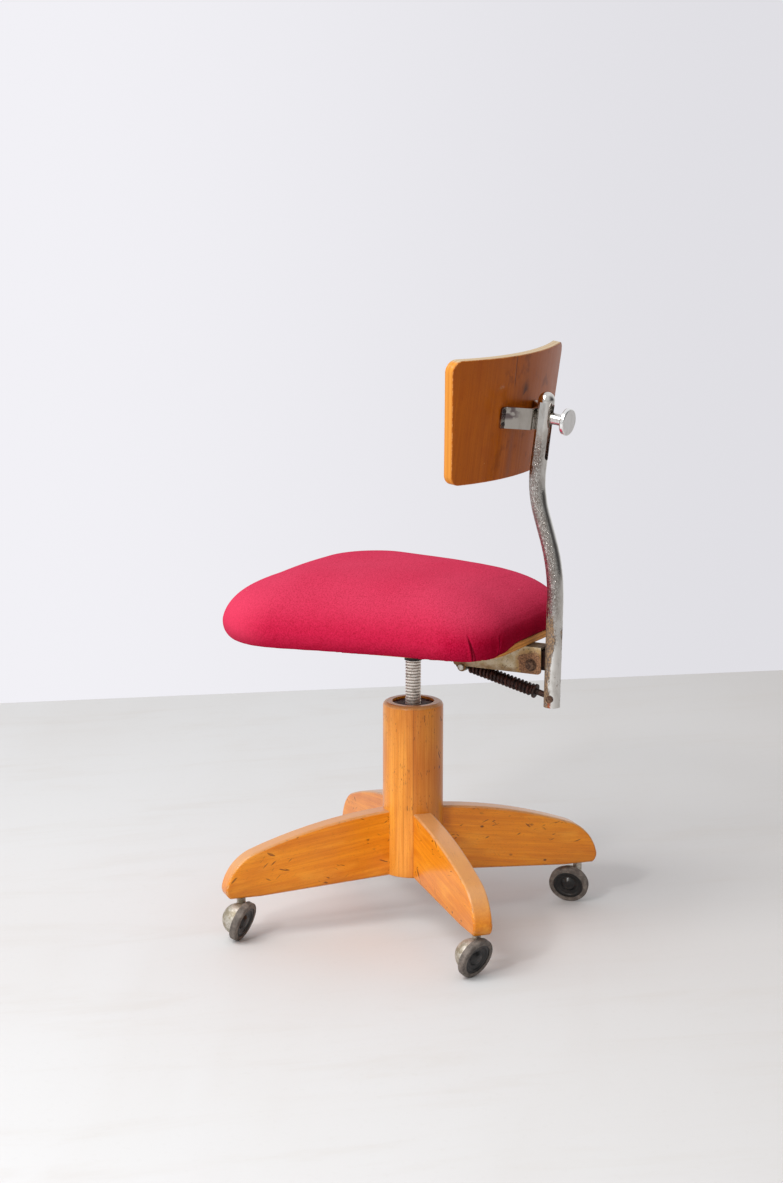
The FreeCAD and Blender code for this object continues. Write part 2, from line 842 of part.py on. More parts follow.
def stud():
    tip = post_radius + knob_washer_thickness + 2 * body_gap + stud_tip
    shank = cylinder(stud_radius, Vector(0, web_front_y - 0.5, 0), Vector(0, tip, 0))
    head = cylinder(stud_head_radius, Vector(0, web_front_y - stud_head_height, 0),
                    Vector(0, web_front_y, 0))
    head = rounded(head, 1.5, lambda e: e.BoundBox.YMax < web_front_y - stud_head_height + 0.01)
    return back_place(shank.fuse(head).removeSplitter())


def knob_washer():
    start = post_radius + body_gap
    washer = cylinder(knob_washer_radius, Vector(0, start, 0), Vector(0, start + knob_washer_thickness, 0))
    return back_place(washer.cut(cylinder(stud_radius + running_clearance, Vector(0, 0, 0),
                                          Vector(0, 30, 0))))


def knob():
    start = post_radius + knob_washer_thickness + 2 * body_gap
    neck_end = start + knob_neck_length
    end = neck_end + knob_thickness
    neck = cylinder(knob_neck_radius, Vector(0, start, 0), Vector(0, neck_end + 0.5, 0))
    disc = cylinder(knob_radius, Vector(0, neck_end, 0), Vector(0, end, 0))
    disc = rounded(disc, knob_rim_round, lambda e: e.BoundBox.YLength < 0.01)
    bore = cylinder(stud_radius + running_clearance, Vector(0, start, 0),
                    Vector(0, start + stud_tip + 1.0, 0))
    return back_place(neck.fuse(disc).removeSplitter().cut(bore))


def bent_sheet(inner, outer, height, low):
    """A full ring about the board's bend centre, from which the board is cut."""
    ring = Part.makeCylinder(outer, height, Vector(0, bend_centre_y, low))
    return ring.cut(Part.makeCylinder(inner, height, Vector(0, bend_centre_y, low)))


def board_rear_at(x):
    return bend_centre_y + math.sqrt(back_bend_radius ** 2 - x ** 2)


def mitred(points, thickness):
    """The outline of a strip bent along points, in the XY plane, with thickness to the left of them."""
    offset = []
    for i, here in enumerate(points):
        before = here.sub(points[i - 1]).normalize() if i else None
        after = points[i + 1].sub(here).normalize() if i + 1 < len(points) else None
        before = before or after
        after = after or before
        normal = Vector(-before.y - after.y, before.x + after.x, 0).normalize()
        offset.append(here + normal * (thickness / normal.dot(Vector(-before.y, before.x, 0))))
    return points + offset[::-1]


def back_strap():
    """A winged strap: a web against the post, two slanting wings, and two flanges bent to the board."""
    low = -strap_drop - strap_height / 2
    flange_inner = strap_flange_reach - strap_flange_length
    side = [Vector(strap_flange_reach, board_rear_at(strap_flange_reach), 0),
            Vector(flange_inner, board_rear_at(flange_inner), 0),
            Vector(strap_web_half, web_front_y, 0)]
    points = side + [Vector(-p.x, p.y, 0) for p in side[::-1]]
    outline = mitred([p for p in points[::-1]], strap_thickness)
    edges = [line(a, b) for a, b in zip(outline, outline[1:] + outline[:1])]
    solid = Part.Face(Part.Wire(edges)).extrude(Vector(0, 0, strap_height))
    solid.translate(Vector(0, 0, low))

    def at_bend(edge):
        inside = abs(edge.CenterOfMass.x) < strap_flange_reach - 1.0
        return inside and edge.BoundBox.ZLength > strap_height - 0.1
    solid = rounded(solid, strap_bend_round, at_bend)
    solid = solid.cut(Part.makeCylinder(back_bend_radius, strap_height, Vector(0, bend_centre_y, low)))
    solid = rounded(solid, strap_end_round, lambda e: abs(e.CenterOfMass.x) > strap_flange_reach - 1.5
                    and e.BoundBox.ZLength < 0.01 and e.BoundBox.YLength > strap_thickness / 2
                    and e.BoundBox.XLength < strap_thickness)
    for cut in strap_screw_list() + [cylinder(stud_radius, Vector(0, -40, 0), Vector(0, 0, 0))]:
        solid = solid.cut(cut)
    return back_place(solid)


def strap_screw_list():
    """Round-head screws near the ends of the flanges, square to the bent board."""
    screws = []
    for side in (-1, 1):
        for level in (-1, 1):
            x = side * (strap_flange_reach - strap_screw_edge)
            turn = math.asin(x / back_bend_radius)
            outward = Vector(math.sin(turn), math.cos(turn), 0)
            seat = Vector(0, bend_centre_y, level * (strap_height / 2 - strap_screw_edge) - strap_drop)
            seat = seat + outward * (back_bend_radius + strap_thickness)
            profile = [(0, -strap_screw_length), (strap_screw_radius, -strap_screw_length + 1.5),
                       (strap_screw_radius, 0), (strap_screw_head_radius, 0),
                       (0.7 * strap_screw_head_radius, strap_screw_head_height),
                       (0, strap_screw_head_height)]
            screws.append(along(turned(profile), seat, outward))
    return screws


def backrest():
    """Plywood bent to one radius, wider at the top, with rounded corners."""
    low = -back_drop - back_height / 2
    sheet = bent_sheet(back_bend_radius - back_thickness, back_bend_radius, back_height, low)
    top_x = back_bend_radius * math.sin(back_top_half / back_bend_radius)
    bottom_x = back_bend_radius * math.sin(back_bottom_half / back_bend_radius)
    high = low + back_height
    corners = [Vector(-bottom_x, 0, low), Vector(bottom_x, 0, low), Vector(top_x, 0, high),
               Vector(-top_x, 0, high)]
    edges = [line(a, b) for a, b in zip(corners, corners[1:] + corners[:1])]
    front = Part.Face(Part.Wire(edges)).extrude(Vector(0, bend_centre_y, 0))
    front = rounded(front, back_corner_round, lambda e: e.BoundBox.YLength > back_bend_radius / 2)
    board = sheet.common(front)
    board = rounded(board, back_edge_round, lambda e: True)
    for screw in strap_screw_list():
        board = board.cut(screw)
    return back_place(board)


# Casters: each made with its stem on the Z axis and the wheel's face towards +X
lean_turn = math.radians(wheel_lean)
wheel_normal = Vector(math.cos(lean_turn), 0, -math.sin(lean_turn))
wheel_centre_z = tyre_round + (wheel_radius - tyre_round) * math.cos(lean_turn)
wheel_centre_z += (wheel_width / 2 - tyre_round) * math.sin(lean_turn)
wheel_centre = Vector(wheel_offset, -caster_trail, wheel_centre_z)
neck_top = caster_height - stem_gap


def on_wheel(shape):
    """Lays a shape made about Z onto the wheel's axis, with z = 0 at the wheel's middle."""
    return along(shape, wheel_centre, wheel_normal)


def tyre_profile_solid():
    half = wheel_width / 2
    inner = wheel_radius - tyre_depth
    outer = wheel_radius
    r = tyre_round
    k = r * (1 - math.sqrt(0.5))
    edges = [
        line(Vector(inner, 0, -half), Vector(outer - r, 0, -half)),
        arc(Vector(outer - r, 0, -half), Vector(outer - k, 0, -half + k), Vector(outer, 0, -half + r)),
        line(Vector(outer, 0, -half + r), Vector(outer, 0, half - r)),
        arc(Vector(outer, 0, half - r), Vector(outer - k, 0, half - k), Vector(outer - r, 0, half)),
        line(Vector(outer - r, 0, half), Vector(inner, 0, half)),
        line(Vector(inner, 0, half), Vector(inner, 0, -half)),
    ]
    return Part.Face(Part.Wire(edges)).revolve(ORIGIN, Z_AXIS, 360)


def tyre():
    return on_wheel(tyre_profile_solid())


def wheel():
    """The disc: a stepped face round a domed hub, bored from behind for the axle."""
    half = wheel_width / 2
    rim = wheel_radius - tyre_depth
    face = half - 1.0
    bore = axle_radius + running_clearance
    dome = half - wheel_web + 1.0
    disc = turned([
        (bore, -half), (hub_radius, -half), (hub_radius, -half + 2.0), (rim - 3.0, -half + 2.0),
        (rim - 3.0, -half),
        (rim, -half), (rim, face), (face_step_radius + 1.5, face),
        (face_step_radius, face - face_step_depth),
        (hub_radius + 1.0, dome - 1.4), (hub_radius - 0.5, dome),
        (hub_radius * 0.72, dome + hub_dome_rise * 0.62),
        (hub_radius * 0.38, dome + hub_dome_rise * 0.93), (0, dome + hub_dome_rise), (0, dome),
        (bore, dome)])
    return on_wheel(disc)


def axle():
    """The pin through the hood's boss that the disc turns on."""
    end = wheel_width / 2 - wheel_web + 1.0 - body_gap
    pin = Part.makeCylinder(axle_radius, end + hood_setback + 8.0, Vector(0, 0, -hood_setback - 8.0))
    return on_wheel(pin)


def hood():
    """A half-ball shell behind the wheel, with bosses for the axle and the stem."""
    face = -wheel_width / 2 - hood_to_wheel
    middle = Vector(0, 0, -hood_setback)
    ball = Part.makeSphere(hood_radius, middle)
    hollow = Part.makeSphere(hood_radius - hood_wall, middle)
    keep = Part.makeCylinder(2 * hood_radius, 2 * hood_radius, Vector(0, 0, face - 2 * hood_radius))
    shell = ball.cut(hollow).common(keep)
    boss = Part.makeCylinder(hood_boss_radius, hood_radius, Vector(0, 0, -hood_setback - hood_radius))
    boss = boss.common(ball).common(keep)
    stem_boss = cylinder(stem_neck_radius + 2.0, stem_foot(), Vector(0, 0, neck_top))
    shell = on_wheel(shell.fuse(boss)).fuse(stem_boss.common(on_wheel(ball.common(keep))))
    pin = on_wheel(Part.makeCylinder(axle_radius, 60, Vector(0, 0, -hood_setback - 8.0)))
    shell = shell.cut(pin).cut(stem_core()).removeSplitter()
    return shell


def stem_foot():
    return Vector(0, 0, wheel_centre_z + stem_foot_rise)


def stem_core():
    return cylinder(stem_radius, stem_foot(), Vector(0, 0, neck_top + 1.0))


def stem():
    """The swivel pin in the leg's socket, its neck seated on the hood."""
    top = caster_height + socket_depth - stem_top_gap - body_gap
    pin = cylinder(stem_radius, stem_foot(), Vector(0, 0, top))
    neck = cylinder(stem_neck_radius, Vector(0, 0, wheel_centre_z), Vector(0, 0, neck_top))
    ball = on_wheel(Part.makeSphere(hood_radius, Vector(0, 0, -hood_setback)))
    return pin.fuse(neck.cut(ball)).removeSplitter()


def caster_place(shape, i):
    placed = spun(shape, caster_turns[i])
    placed.translate(polar(stem_circle, first_leg_turn + i * 360.0 / leg_count))
    return placed


def save(name, shape):
    shape.exportStep("parts/%s.step" % name)


def main():
    os.makedirs("parts", exist_ok=True)
    save("column", column())
    leg_solid = leg().cut(socket_hole())
    for i in range(leg_count):
        save("leg_%d" % (i + 1), spun(leg_solid, first_leg_turn + i * 360.0 / leg_count))
    save("caster_sockets", group([spun(caster_socket(), first_leg_turn + i * 360.0 / leg_count)
                                  for i in range(leg_count)]))
    save("spindle_nut", spindle_nut())
    save("nut_screws", group([nut_screw(i) for i in range(nut_screw_count)]))
    save("buffer_ring", buffer_ring())
    save("spindle", spindle())
    save("seat_iron", seat_iron())
    save("seat_iron_screws", group([iron_screw(i) for i in range(4)]))
    save("seat_board", seat_board())
    save("seat_foam", seat_foam())
    save("seat_cover", seat_cover())
    save("bracket", bracket())
    save("bracket_screws", group(bracket_screws()))
    save("pivot_bolt", pivot_bolt())
    save("pivot_washer", pivot_washer())
    save("pivot_nut", pivot_nut())
    save("trunnion", trunnion())
    save("post", post())
    save("post_cap", post_cap())
    save("pivot_lug", pivot_lug())
    save("rod_pin", rod_pin_solid())
    save("spring_rod", spring_rod())
    save("spring_collar", spring_collar())
    save("rod_nut", rod_nut())
    save("tilt_spring", tilt_spring())
    save("back_strap", back_strap())
    save("strap_screws", group([back_place(screw) for screw in strap_screw_list()]))
    save("stud", stud())
    save("knob_washer", knob_washer())
    save("knob", knob())
    save("backrest", backrest())
    stem_solid, hood_solid, axle_solid, wheel_solid, tyre_solid = stem(), hood(), axle(), wheel(), tyre()
    for i in range(leg_count):
        save("caster_stem_%d" % (i + 1), caster_place(stem_solid, i))
        save("caster_hood_%d" % (i + 1), caster_place(hood_solid, i))
        save("caster_axle_%d" % (i + 1), caster_place(axle_solid, i))
        save("wheel_%d" % (i + 1), caster_place(wheel_solid, i))
        save("tyre_%d" % (i + 1), caster_place(tyre_solid, i))


main()
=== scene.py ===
import math
import bmesh
import bpy
from mathutils import Matrix, Vector
from mathutils.bvhtree import BVHTree


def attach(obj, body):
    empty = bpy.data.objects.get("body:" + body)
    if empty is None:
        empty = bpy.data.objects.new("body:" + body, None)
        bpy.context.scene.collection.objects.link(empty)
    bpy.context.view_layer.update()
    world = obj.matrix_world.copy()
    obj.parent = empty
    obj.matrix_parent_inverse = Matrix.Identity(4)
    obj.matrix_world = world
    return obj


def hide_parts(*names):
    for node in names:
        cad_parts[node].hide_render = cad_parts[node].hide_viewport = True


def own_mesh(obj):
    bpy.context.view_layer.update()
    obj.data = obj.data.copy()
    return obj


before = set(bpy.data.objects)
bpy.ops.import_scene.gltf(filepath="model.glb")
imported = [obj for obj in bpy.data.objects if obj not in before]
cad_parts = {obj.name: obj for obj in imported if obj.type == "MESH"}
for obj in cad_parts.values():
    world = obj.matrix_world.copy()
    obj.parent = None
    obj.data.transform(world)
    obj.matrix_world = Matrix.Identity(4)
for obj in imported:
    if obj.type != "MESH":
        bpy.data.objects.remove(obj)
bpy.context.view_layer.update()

scene = bpy.context.scene
scene.view_settings.view_transform = "Standard"

# The chair in the part's own frame, in metres: floor at z = 0, column on the Z axis, seat
# facing -Y. Colours are written as the eye reads them, 0 to 255.
ACROSS, REARWARD, UP = (1, 0, 0), (0, 1, 0), (0, 0, 1)
AWAY_FROM_WINDOW = Vector((-0.468, 0.884, 0.0))    # the side away from the window light: painted shade on the felt and the floor falls this way, painted light on the felt the other way
SEAM_SIDE = Vector((0.887, 0.462, 0.0))            # the column's glued seam faces this way
GRAIN_UP = (0.0, math.radians(-90.0), 0.0)
LEGS = range(1, 5)
FIRST_LEG = 47.3                                   # degrees round the column from +X
LEG_GRAIN_TILT = math.radians(8.0)
THREAD_ROOT, THREAD_CREST = 0.0091, 0.0099         # radii on the spindle

# Seat board and the felt's hem under it
BOARD_MIDDLE = 0.401
BOARD_TOP = 0.406
HEM = 0.3976
FELT_GAP = 0.0003                                  # the felt clears the board by this much
# The felt's four tucks, two at each rear corner: foot x, y, head x, y and height
TUCKS = [((foot_x * side, foot_y, HEM), (head_x * side, head_y, HEM + height))
         for foot_x, foot_y, head_x, head_y, height in (
             (0.1195, 0.148, 0.1325, 0.1455, 0.034),
             (0.0928, 0.1690, 0.0925, 0.1712, 0.028))
         for side in (1, -1)]
TUCK_DEPTH, TUCK_WIDTH = 0.0032, 0.0013

# Bracket, back post, spring rod and back
BRACKET_INSIDE, BRACKET_OUTSIDE = 0.0135, 0.0141   # half the channel's width
PIVOT = Vector((0.0, 0.1775, 0.3725))
BOLT_HEAD = 0.0072                                 # radius of the dark ring drawn round it
ROD_PIN = Vector((0.0, 0.20307, 0.329))
TRUNNION = Vector((0.0, 0.078, 0.359))
STUD = Vector((0.0, 0.186426, 0.6925))
BACK_LEAN = math.radians(7.0)
BACK_SKEW = math.radians(-3.5)
BEND_CENTRE = 0.4757                               # from the stud forwards to the bend's centre
BEND_RADIUS = 0.439
BACK_LAYER = 0.0024
BOARD_LAYER = 0.002

# Camera at the photograph's place: how it stands, looks and frames
CAMERA_AROUND = math.radians(27.5)
CAMERA_OUT = 3.7018
CAMERA_HEIGHT = 1.2108
CAMERA_PAN = math.radians(0.445)
CAMERA_TILT = math.radians(11.632)
CAMERA_ROLL = math.radians(0.058)
SENSOR = 36.0
FOCAL_ROWS, PICTURE_ROWS = 2881.9, 1183.0

# Room: a point on the foot of the wall and the way that the wall runs
WALL_FOOT = Vector((-1.175, -0.636, 0.0))
WALL_LINE = Vector((-0.889, 1.121, 0.0)).normalized()
FLOOR_HALF = 9.0

# Soft lights: name, place, the height they aim at over the column, width, power and colour
LIGHTS = (("window", (2.30, -0.80, 3.50), 0.45, 2.4, 88.0, (1.0, 0.99, 0.975)),
          ("lamp", (3.50, -0.30, 2.30), 0.45, 0.45, 38.0, (1.0, 0.99, 0.975)),
          ("softbox", (1.85, -2.25, 1.25), 0.35, 2.0, 11.0, (1.0, 1.0, 1.0)))


def place_camera():
    """The camera stands off the column and looks down at it, a little to one side."""
    data = bpy.data.cameras.new("camera")
    data.sensor_fit = "VERTICAL"
    data.sensor_height = SENSOR
    data.lens = SENSOR * FOCAL_ROWS / PICTURE_ROWS
    data.clip_end = 50.0
    camera = bpy.data.objects.new("camera", data)
    stand = Vector((CAMERA_OUT * math.cos(CAMERA_AROUND), CAMERA_OUT * math.sin(CAMERA_AROUND),
                    CAMERA_HEIGHT))
    heading = CAMERA_AROUND + math.pi + CAMERA_PAN
    level = Vector((math.cos(heading), math.sin(heading), 0.0))
    forward = level * math.cos(CAMERA_TILT) - Vector(UP) * math.sin(CAMERA_TILT)
    side = forward.cross(Vector(UP)).normalized()
    turn = Matrix((side, side.cross(forward), -forward)).transposed().to_4x4()
    roll = Matrix.Rotation(CAMERA_ROLL, 4, "Z")
    camera.matrix_world = Matrix.Translation(stand) @ turn @ roll
    scene.collection.objects.link(camera)
    scene.camera = camera


# Shader values and finishes
def paint(red, green, blue):
    """A colour as the eye reads it made linear for the shaders."""
    def linear(part):
        share = part / 255.0
        return share / 12.92 if share <= 0.04045 else ((share + 0.055) / 1.055) ** 2.4
    return (linear(red), linear(green), linear(blue), 1.0)


class Value:
    """A shader socket that ordinary arithmetic works on."""

    def __init__(self, nodes, socket):
        self.nodes = nodes
        self.socket = socket

    def __add__(self, other):
        return self.nodes.maths("ADD", self, other)

    def __radd__(self, other):
        return self.nodes.maths("ADD", other, self)

    def __sub__(self, other):
        return self.nodes.maths("SUBTRACT", self, other)

    def __rsub__(self, other):
        return self.nodes.maths("SUBTRACT", other, self)

    def __mul__(self, other):
        return self.nodes.maths("MULTIPLY", self, other)

    def __rmul__(self, other):
        return self.nodes.maths("MULTIPLY", other, self)

    def __truediv__(self, other):
        return self.nodes.maths("DIVIDE", self, other)

    def __rtruediv__(self, other):
        return self.nodes.maths("DIVIDE", other, self)

    def __pow__(self, other):
        return self.nodes.maths("POWER", self, other)

    def __rpow__(self, other):
        return self.nodes.maths("POWER", other, self)

    def __abs__(self):
        return self.nodes.maths("ABSOLUTE", self)

    def root(self):
        return self.nodes.maths("SQRT", self)

    def wave(self):
        return self.nodes.maths("SINE", self)

    def either(self, other):
        """The larger of the two."""
        return self.nodes.maths("MAXIMUM", self, other)

    def between(self, low, high):
        """0 below low, 1 above high, and smooth in between; the other way round if low is more."""
        rising = low < high
        made = self.nodes.node("ShaderNodeMapRange", {"interpolation_type": "SMOOTHSTEP"},
                               {"Value": self, "From Min": min(low, high),
                                "From Max": max(low, high), "To Min": 0.0 if rising else 1.0,
                                "To Max": 1.0 if rising else 0.0})
        return self.nodes.read(made)

    def near(self, place, width):
        """1 at place, 0 further than width from it."""
        return abs(self - place).between(width, 0.0)


class Nodes:
    """A node tree that grows from expressions on its values."""

    def __init__(self, tree):
        self.tree = tree

    def node(self, kind, settings=None, inputs=None):
        """The one way to add a node: its type, its settings, and what its sockets hold."""
        made = self.tree.nodes.new(kind)
        for name, value in (settings or {}).items():
            setattr(made, name, value)
        for name, value in (inputs or {}).items():
            if isinstance(value, Value):
                self.tree.links.new(value.socket, made.inputs[name])
            else:
                made.inputs[name].default_value = value
        return made

    def read(self, made, output=0):
        """What a node gives out, as a value."""
        return Value(self, made.outputs[output])

    def maths(self, operation, *values):
        """A Math node for an operator or a plain function."""
        made = self.node("ShaderNodeMath", {"operation": operation}, dict(enumerate(values)))
        return self.read(made)

    def dot(self, vector, direction):
        """How much of a vector lies along a direction."""
        made = self.node("ShaderNodeVectorMath", {"operation": "DOT_PRODUCT"},
                         {0: vector, 1: tuple(direction)})
        return self.read(made, "Value")

    def tint(self, share, below, above):
        """Two colours mixed: the lower one where share is 0, the upper one where it is 1."""
        made = self.node("ShaderNodeMix", {"data_type": "RGBA"}, {0: share, 6: below, 7: above})
        return self.read(made, 2)

    def coats(self, colour, *marks):
        """Marks laid over a colour one after another, each a share and its own colour."""
        for share, tone in marks:
            colour = self.tint(share, colour, tone if isinstance(tone, Value) else paint(*tone))
        return colour


class Finish(Nodes):
    """One material. Varying values go into its shader through show()."""

    def __init__(self, name, fixed):
        self.material = bpy.data.materials.new(name)
        self.material.use_nodes = True
        super().__init__(self.material.node_tree)
        self.shader = self.tree.nodes["Principled BSDF"]
        for socket, value in fixed.items():
            self.shader.inputs[socket].default_value = value
        coordinates = self.node("ShaderNodeTexCoord")
        self.place = self.read(coordinates, "Object")
        self.facing = self.read(coordinates, "Normal")

    def show(self, **values):
        """Links values to the shader's sockets: base_color, roughness, metallic or normal."""
        for name, value in values.items():
            socket = self.shader.inputs[name.replace("_", " ").title()]
            self.tree.links.new(value.socket, socket)

    def along(self, direction):
        """How far a point lies along a direction."""
        return self.dot(self.place, direction)

    def faces(self, direction):
        """How squarely a surface faces a direction, from -1 to 1."""
        return self.dot(self.facing, direction)

    def rim(self, direction):
        """1 on the roundings between the faces square to direction and the faces along it."""
        square = self.faces(direction) ** 2.0
        return 4.0 * square * (1.0 - square)

    def mapped(self, size, turn=(0.0, 0.0, 0.0), shift=(0.0, 0.0, 0.0)):
        """Object coordinates measured in sizes along each turned axis."""
        made = self.node("ShaderNodeMapping", {"vector_type": "TEXTURE"},
                         {"Vector": self.place, "Location": shift, "Rotation": turn,
                          "Scale": size})
        return self.read(made)

    def patch(self, size, turn=(0.0, 0.0, 0.0), detail=2.0, rough=0.5, bent=0.0,
              shift=(0.0, 0.0, 0.0)):
        """Cloudy noise whose patches have the given size, or one size along each axis."""
        sizes = size if isinstance(size, tuple) else (size, size, size)
        made = self.node("ShaderNodeTexNoise", {"noise_dimensions": "3D"},
                         {"Vector": self.mapped(sizes, turn, shift), "Scale": 1.0,
                          "Detail": detail, "Roughness": rough, "Distortion": bent})
        return self.read(made)

    def spots(self, size, radius, share, turn=(0.0, 0.0, 0.0), stretch=1.0):
        """Sparse round marks: size apart, radius across half, on about that share of places."""
        spot = self.mapped((size * stretch, size, size), turn)
        made = self.node("ShaderNodeTexVoronoi", {"feature": "F1"}, {"Vector": spot, "Scale": 1.0})
        split = self.node("ShaderNodeSeparateColor", None, {0: self.read(made, "Color")})
        mark = self.read(made, "Distance").between(radius / size, 0.5 * radius / size)
        return mark * self.read(split).between(share, share * 0.98)

    def cuts(self, length, width, turn, slant):
        """Thin strokes slanted against a turned X axis."""
        turned = (turn[0], turn[1] + slant, turn[2])
        return self.patch((length, width, width * 4.0), turned, 1.0).between(0.68, 0.74)

    def bump(self, height, depth, under=None):
        """Relief of the given depth in metres, over an earlier relief if there is one."""
        inputs = {"Height": height, "Distance": depth, "Strength": 1.0}
        if under is not None:
            inputs["Normal"] = under
        return self.read(self.node("ShaderNodeBump", None, inputs))


def dress(finish, *nodes):
    """A finish on CAD nodes, in their material slots."""
    for node in nodes:
        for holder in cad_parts[node].material_slots:
            holder.material = finish.material


def beech(name, turn, thickness_axis, light=(238, 148, 24), dark=(220, 124, 12),
          two_boards=False, vessels=0.14):
    """Honey-varnished beech with its grain along a turned X axis and its corners rubbed pale; the
    corners and the upward faces also carry a painted highlight, and it is darker towards the
    floor.
    """
    wood = Finish(name, {"Coat Weight": 0.55, "Coat Roughness": 0.16, "Specular IOR Level": 0.14})
    streak = wood.patch((0.12, 0.0035, 0.0035), turn, 4.0, 0.6, 0.4)
    cloud = wood.patch((0.09, 0.03, 0.03), turn, 2.0)
    golden = wood.patch((0.07, 0.02, 0.02), turn, 3.0, 0.6, shift=(0.4, 0.1, 0.2))
    fleck = wood.patch((0.0032, 0.0007, 0.0007), turn, 1.0).between(0.62, 0.72)
    vessel = wood.patch((0.09, 0.0009, 0.0009), turn, 2.0).between(0.6, 0.72)
    colour = wood.tint(streak.between(0.3, 0.72), paint(*dark), paint(*light))
    colour = wood.coats(colour,
                        (cloud.between(0.4, 0.72) * 0.5, (192, 96, 6)),
                        (golden.between(0.5, 0.75) * 0.45, (248, 170, 52)),
                        (fleck * 0.3, (150, 70, 8)),
                        (vessel * vessels, (128, 58, 6)))
    if two_boards:
        from_seam = wood.along(AWAY_FROM_WINDOW)
        outer_board = from_seam.between(-0.0005, 0.0005)
        seam = from_seam.near(0.0, 0.0009) * wood.faces(SEAM_SIDE).between(0.3, 0.6)
        colour = wood.coats(colour, (outer_board * 0.4, (170, 84, 10)),
                            (seam * 0.45, (120, 55, 8)))

    # Knocks: scratches in worn places, dings, and bruised or rubbed corners; then a painted
    # highlight on the upward faces, and darker towards the floor
    worn = wood.patch(0.035, detail=1.0, shift=(0.1, 0.3, 0.5)).between(0.5, 0.58)
    scratch = wood.cuts(0.024, 0.0011, turn, 0.6).either(wood.cuts(0.017, 0.0009, turn, -0.45))
    scratch = scratch * worn
    dings = wood.spots(0.014, 0.0021, 0.34, turn, 1.7)
    dings = dings * wood.patch(0.06, detail=1.0).between(0.42, 0.56)
    corner = wood.rim(thickness_axis)
    broken = wood.patch((0.012, 0.004, 0.004), turn, 3.0, 0.7).between(0.46, 0.6)
    # the corners rubbed pale: part wear, part a painted highlight along the arrises
    pale = corner.between(0.25, 0.9) * broken
    dented = wood.patch((0.006, 0.003, 0.003), turn, 2.0, 0.6).between(0.58, 0.68)
    bruise = corner.between(0.2, 0.8) * dented
    # painted highlight: the upward faces lighter and paler, as if lit from above
    painted_top_highlight = wood.faces(UP).between(0.1, 0.8)
    foot = wood.along(UP).between(0.085, 0.058)
    colour = wood.coats(colour,
                        (scratch * 0.75, (96, 46, 10)),
                        (dings * 0.85, (78, 36, 10)),
                        (pale * 0.6, (216, 168, 112)),
                        (bruise * 0.8, (96, 50, 24)),
                        (painted_top_highlight * 0.75, (196, 148, 100)),
                        (foot * 0.25, (120, 60, 22)))
    relief = wood.bump(streak, 0.00012)
    relief = wood.bump(1.0 - dings - bruise * 0.5 - scratch * 0.4, 0.0005, relief)
    wood.show(base_color=colour, normal=relief,
              roughness=0.34 + cloud * 0.14 + scratch * 0.2 + pale * 0.15)
    return wood


def back_veneer():
    """The bent plywood back in its own frame: X across, Y out of the post, Z up the post."""
    ply = Finish("back_plywood",
                 {"Coat Weight": 0.16, "Coat Roughness": 0.1, "Specular IOR Level": 0.1})
    turn = Matrix.Rotation(-BACK_LEAN, 3, "X") @ Matrix.Rotation(BACK_SKEW, 3, "Z")
    across, outward, up = (turn @ Vector(axis) for axis in (ACROSS, REARWARD, UP))
    grain = tuple((turn @ Matrix.Rotation(math.radians(-90), 3, "Y")).to_euler())
    x, y, height = (ply.along(axis) - axis.dot(STUD) for axis in (across, outward, up))
    from_centre = y + BEND_CENTRE
    radius = (x * x + from_centre * from_centre).root()
    squareness = ply.faces(outward) * from_centre / radius + ply.faces(across) * x / radius
    rear = squareness.between(-0.1, 0.1)

    streak = ply.patch((0.16, 0.004, 0.004), grain, 4.0, 0.6, 0.5)
    cloud = ply.patch((0.05, 0.022, 0.022), grain, 3.0, 0.6)
    stain = ply.patch((0.035, 0.03, 0.03), grain, 3.0, 0.65, shift=(0.3, 0.1, 0.0))
    stained = stain.between(0.54, 0.68) * 0.45 * x.between(0.08, 0.02)
    fleck = ply.patch((0.003, 0.0008, 0.0008), grain, 1.0).between(0.62, 0.72)
    # browner towards the -X side and towards the top
    browner_side_and_top = x.between(0.03, -0.04) * 0.6 + height.between(0.0, 0.07) * 0.5
    smear = ply.patch((0.02, 0.006, 0.02), grain, 2.0).between(0.3, 0.45)
    smear = smear * x.near(-0.010, 0.012) * height.near(0.024, 0.022) * rear
    rubbed = x.near(0.012, 0.01) * height.between(-0.014, -0.03) * rear
    crack_line = 0.0205 - (height * 60.0).wave() * 0.0008
    crack = x.near(crack_line, 0.0016)
    crack = crack * height.between(0.03, 0.04) * rear
    nick = ply.spots(0.02, 0.0008, 0.3)
    colour = ply.tint(streak.between(0.3, 0.7), paint(166, 80, 2), paint(184, 95, 6))
    colour = ply.coats(colour,
                       (browner_side_and_top.between(0.0, 1.0), (164, 82, 20)),
                       (cloud.between(0.45, 0.75) * 0.35, (160, 70, 2)),
                       (stained, (92, 38, 14)),
                       (fleck * 0.35, (104, 44, 10)),
                       (smear * 0.9, (74, 34, 14)),
                       (rubbed * 0.4, (120, 74, 60)),
                       (crack * 0.8, (60, 26, 8)),
                       (nick * 0.8, (216, 150, 90)))

    # Its edges show the layers: bare and grey along the top, varnished down the sides
    layer = ((BEND_RADIUS - radius) * (math.pi / BACK_LAYER)).wave().between(-0.3, 0.5)
    grainy = ply.patch((0.002, 0.0006, 0.002), grain, 3.0, 0.7)
    sides = ply.tint(layer * 0.35 + grainy * 0.25, paint(220, 146, 60), paint(190, 112, 34))
    top = ply.tint(layer * 0.3 + grainy * 0.45, paint(206, 184, 150), paint(158, 128, 92))
    flat = abs(squareness)
    edge = flat.between(0.75, 0.35)
    side_edge = abs(ply.faces(across)).between(0.3, 0.7)
    lip = flat.between(0.4, 0.75) * flat.between(0.995, 0.86)
    lip = lip * ply.patch((0.004, 0.003, 0.003), grain, 3.0, 0.7).between(0.42, 0.6)
    colour = ply.coats(colour, (edge, ply.tint(side_edge, top, sides)),
                       (lip * 0.8, (226, 160, 92)))
    ply.show(base_color=colour, normal=ply.bump(streak - crack, 0.0002),
             roughness=0.3 + cloud * 0.16 + edge * 0.3 + stain * 0.06)
    return ply


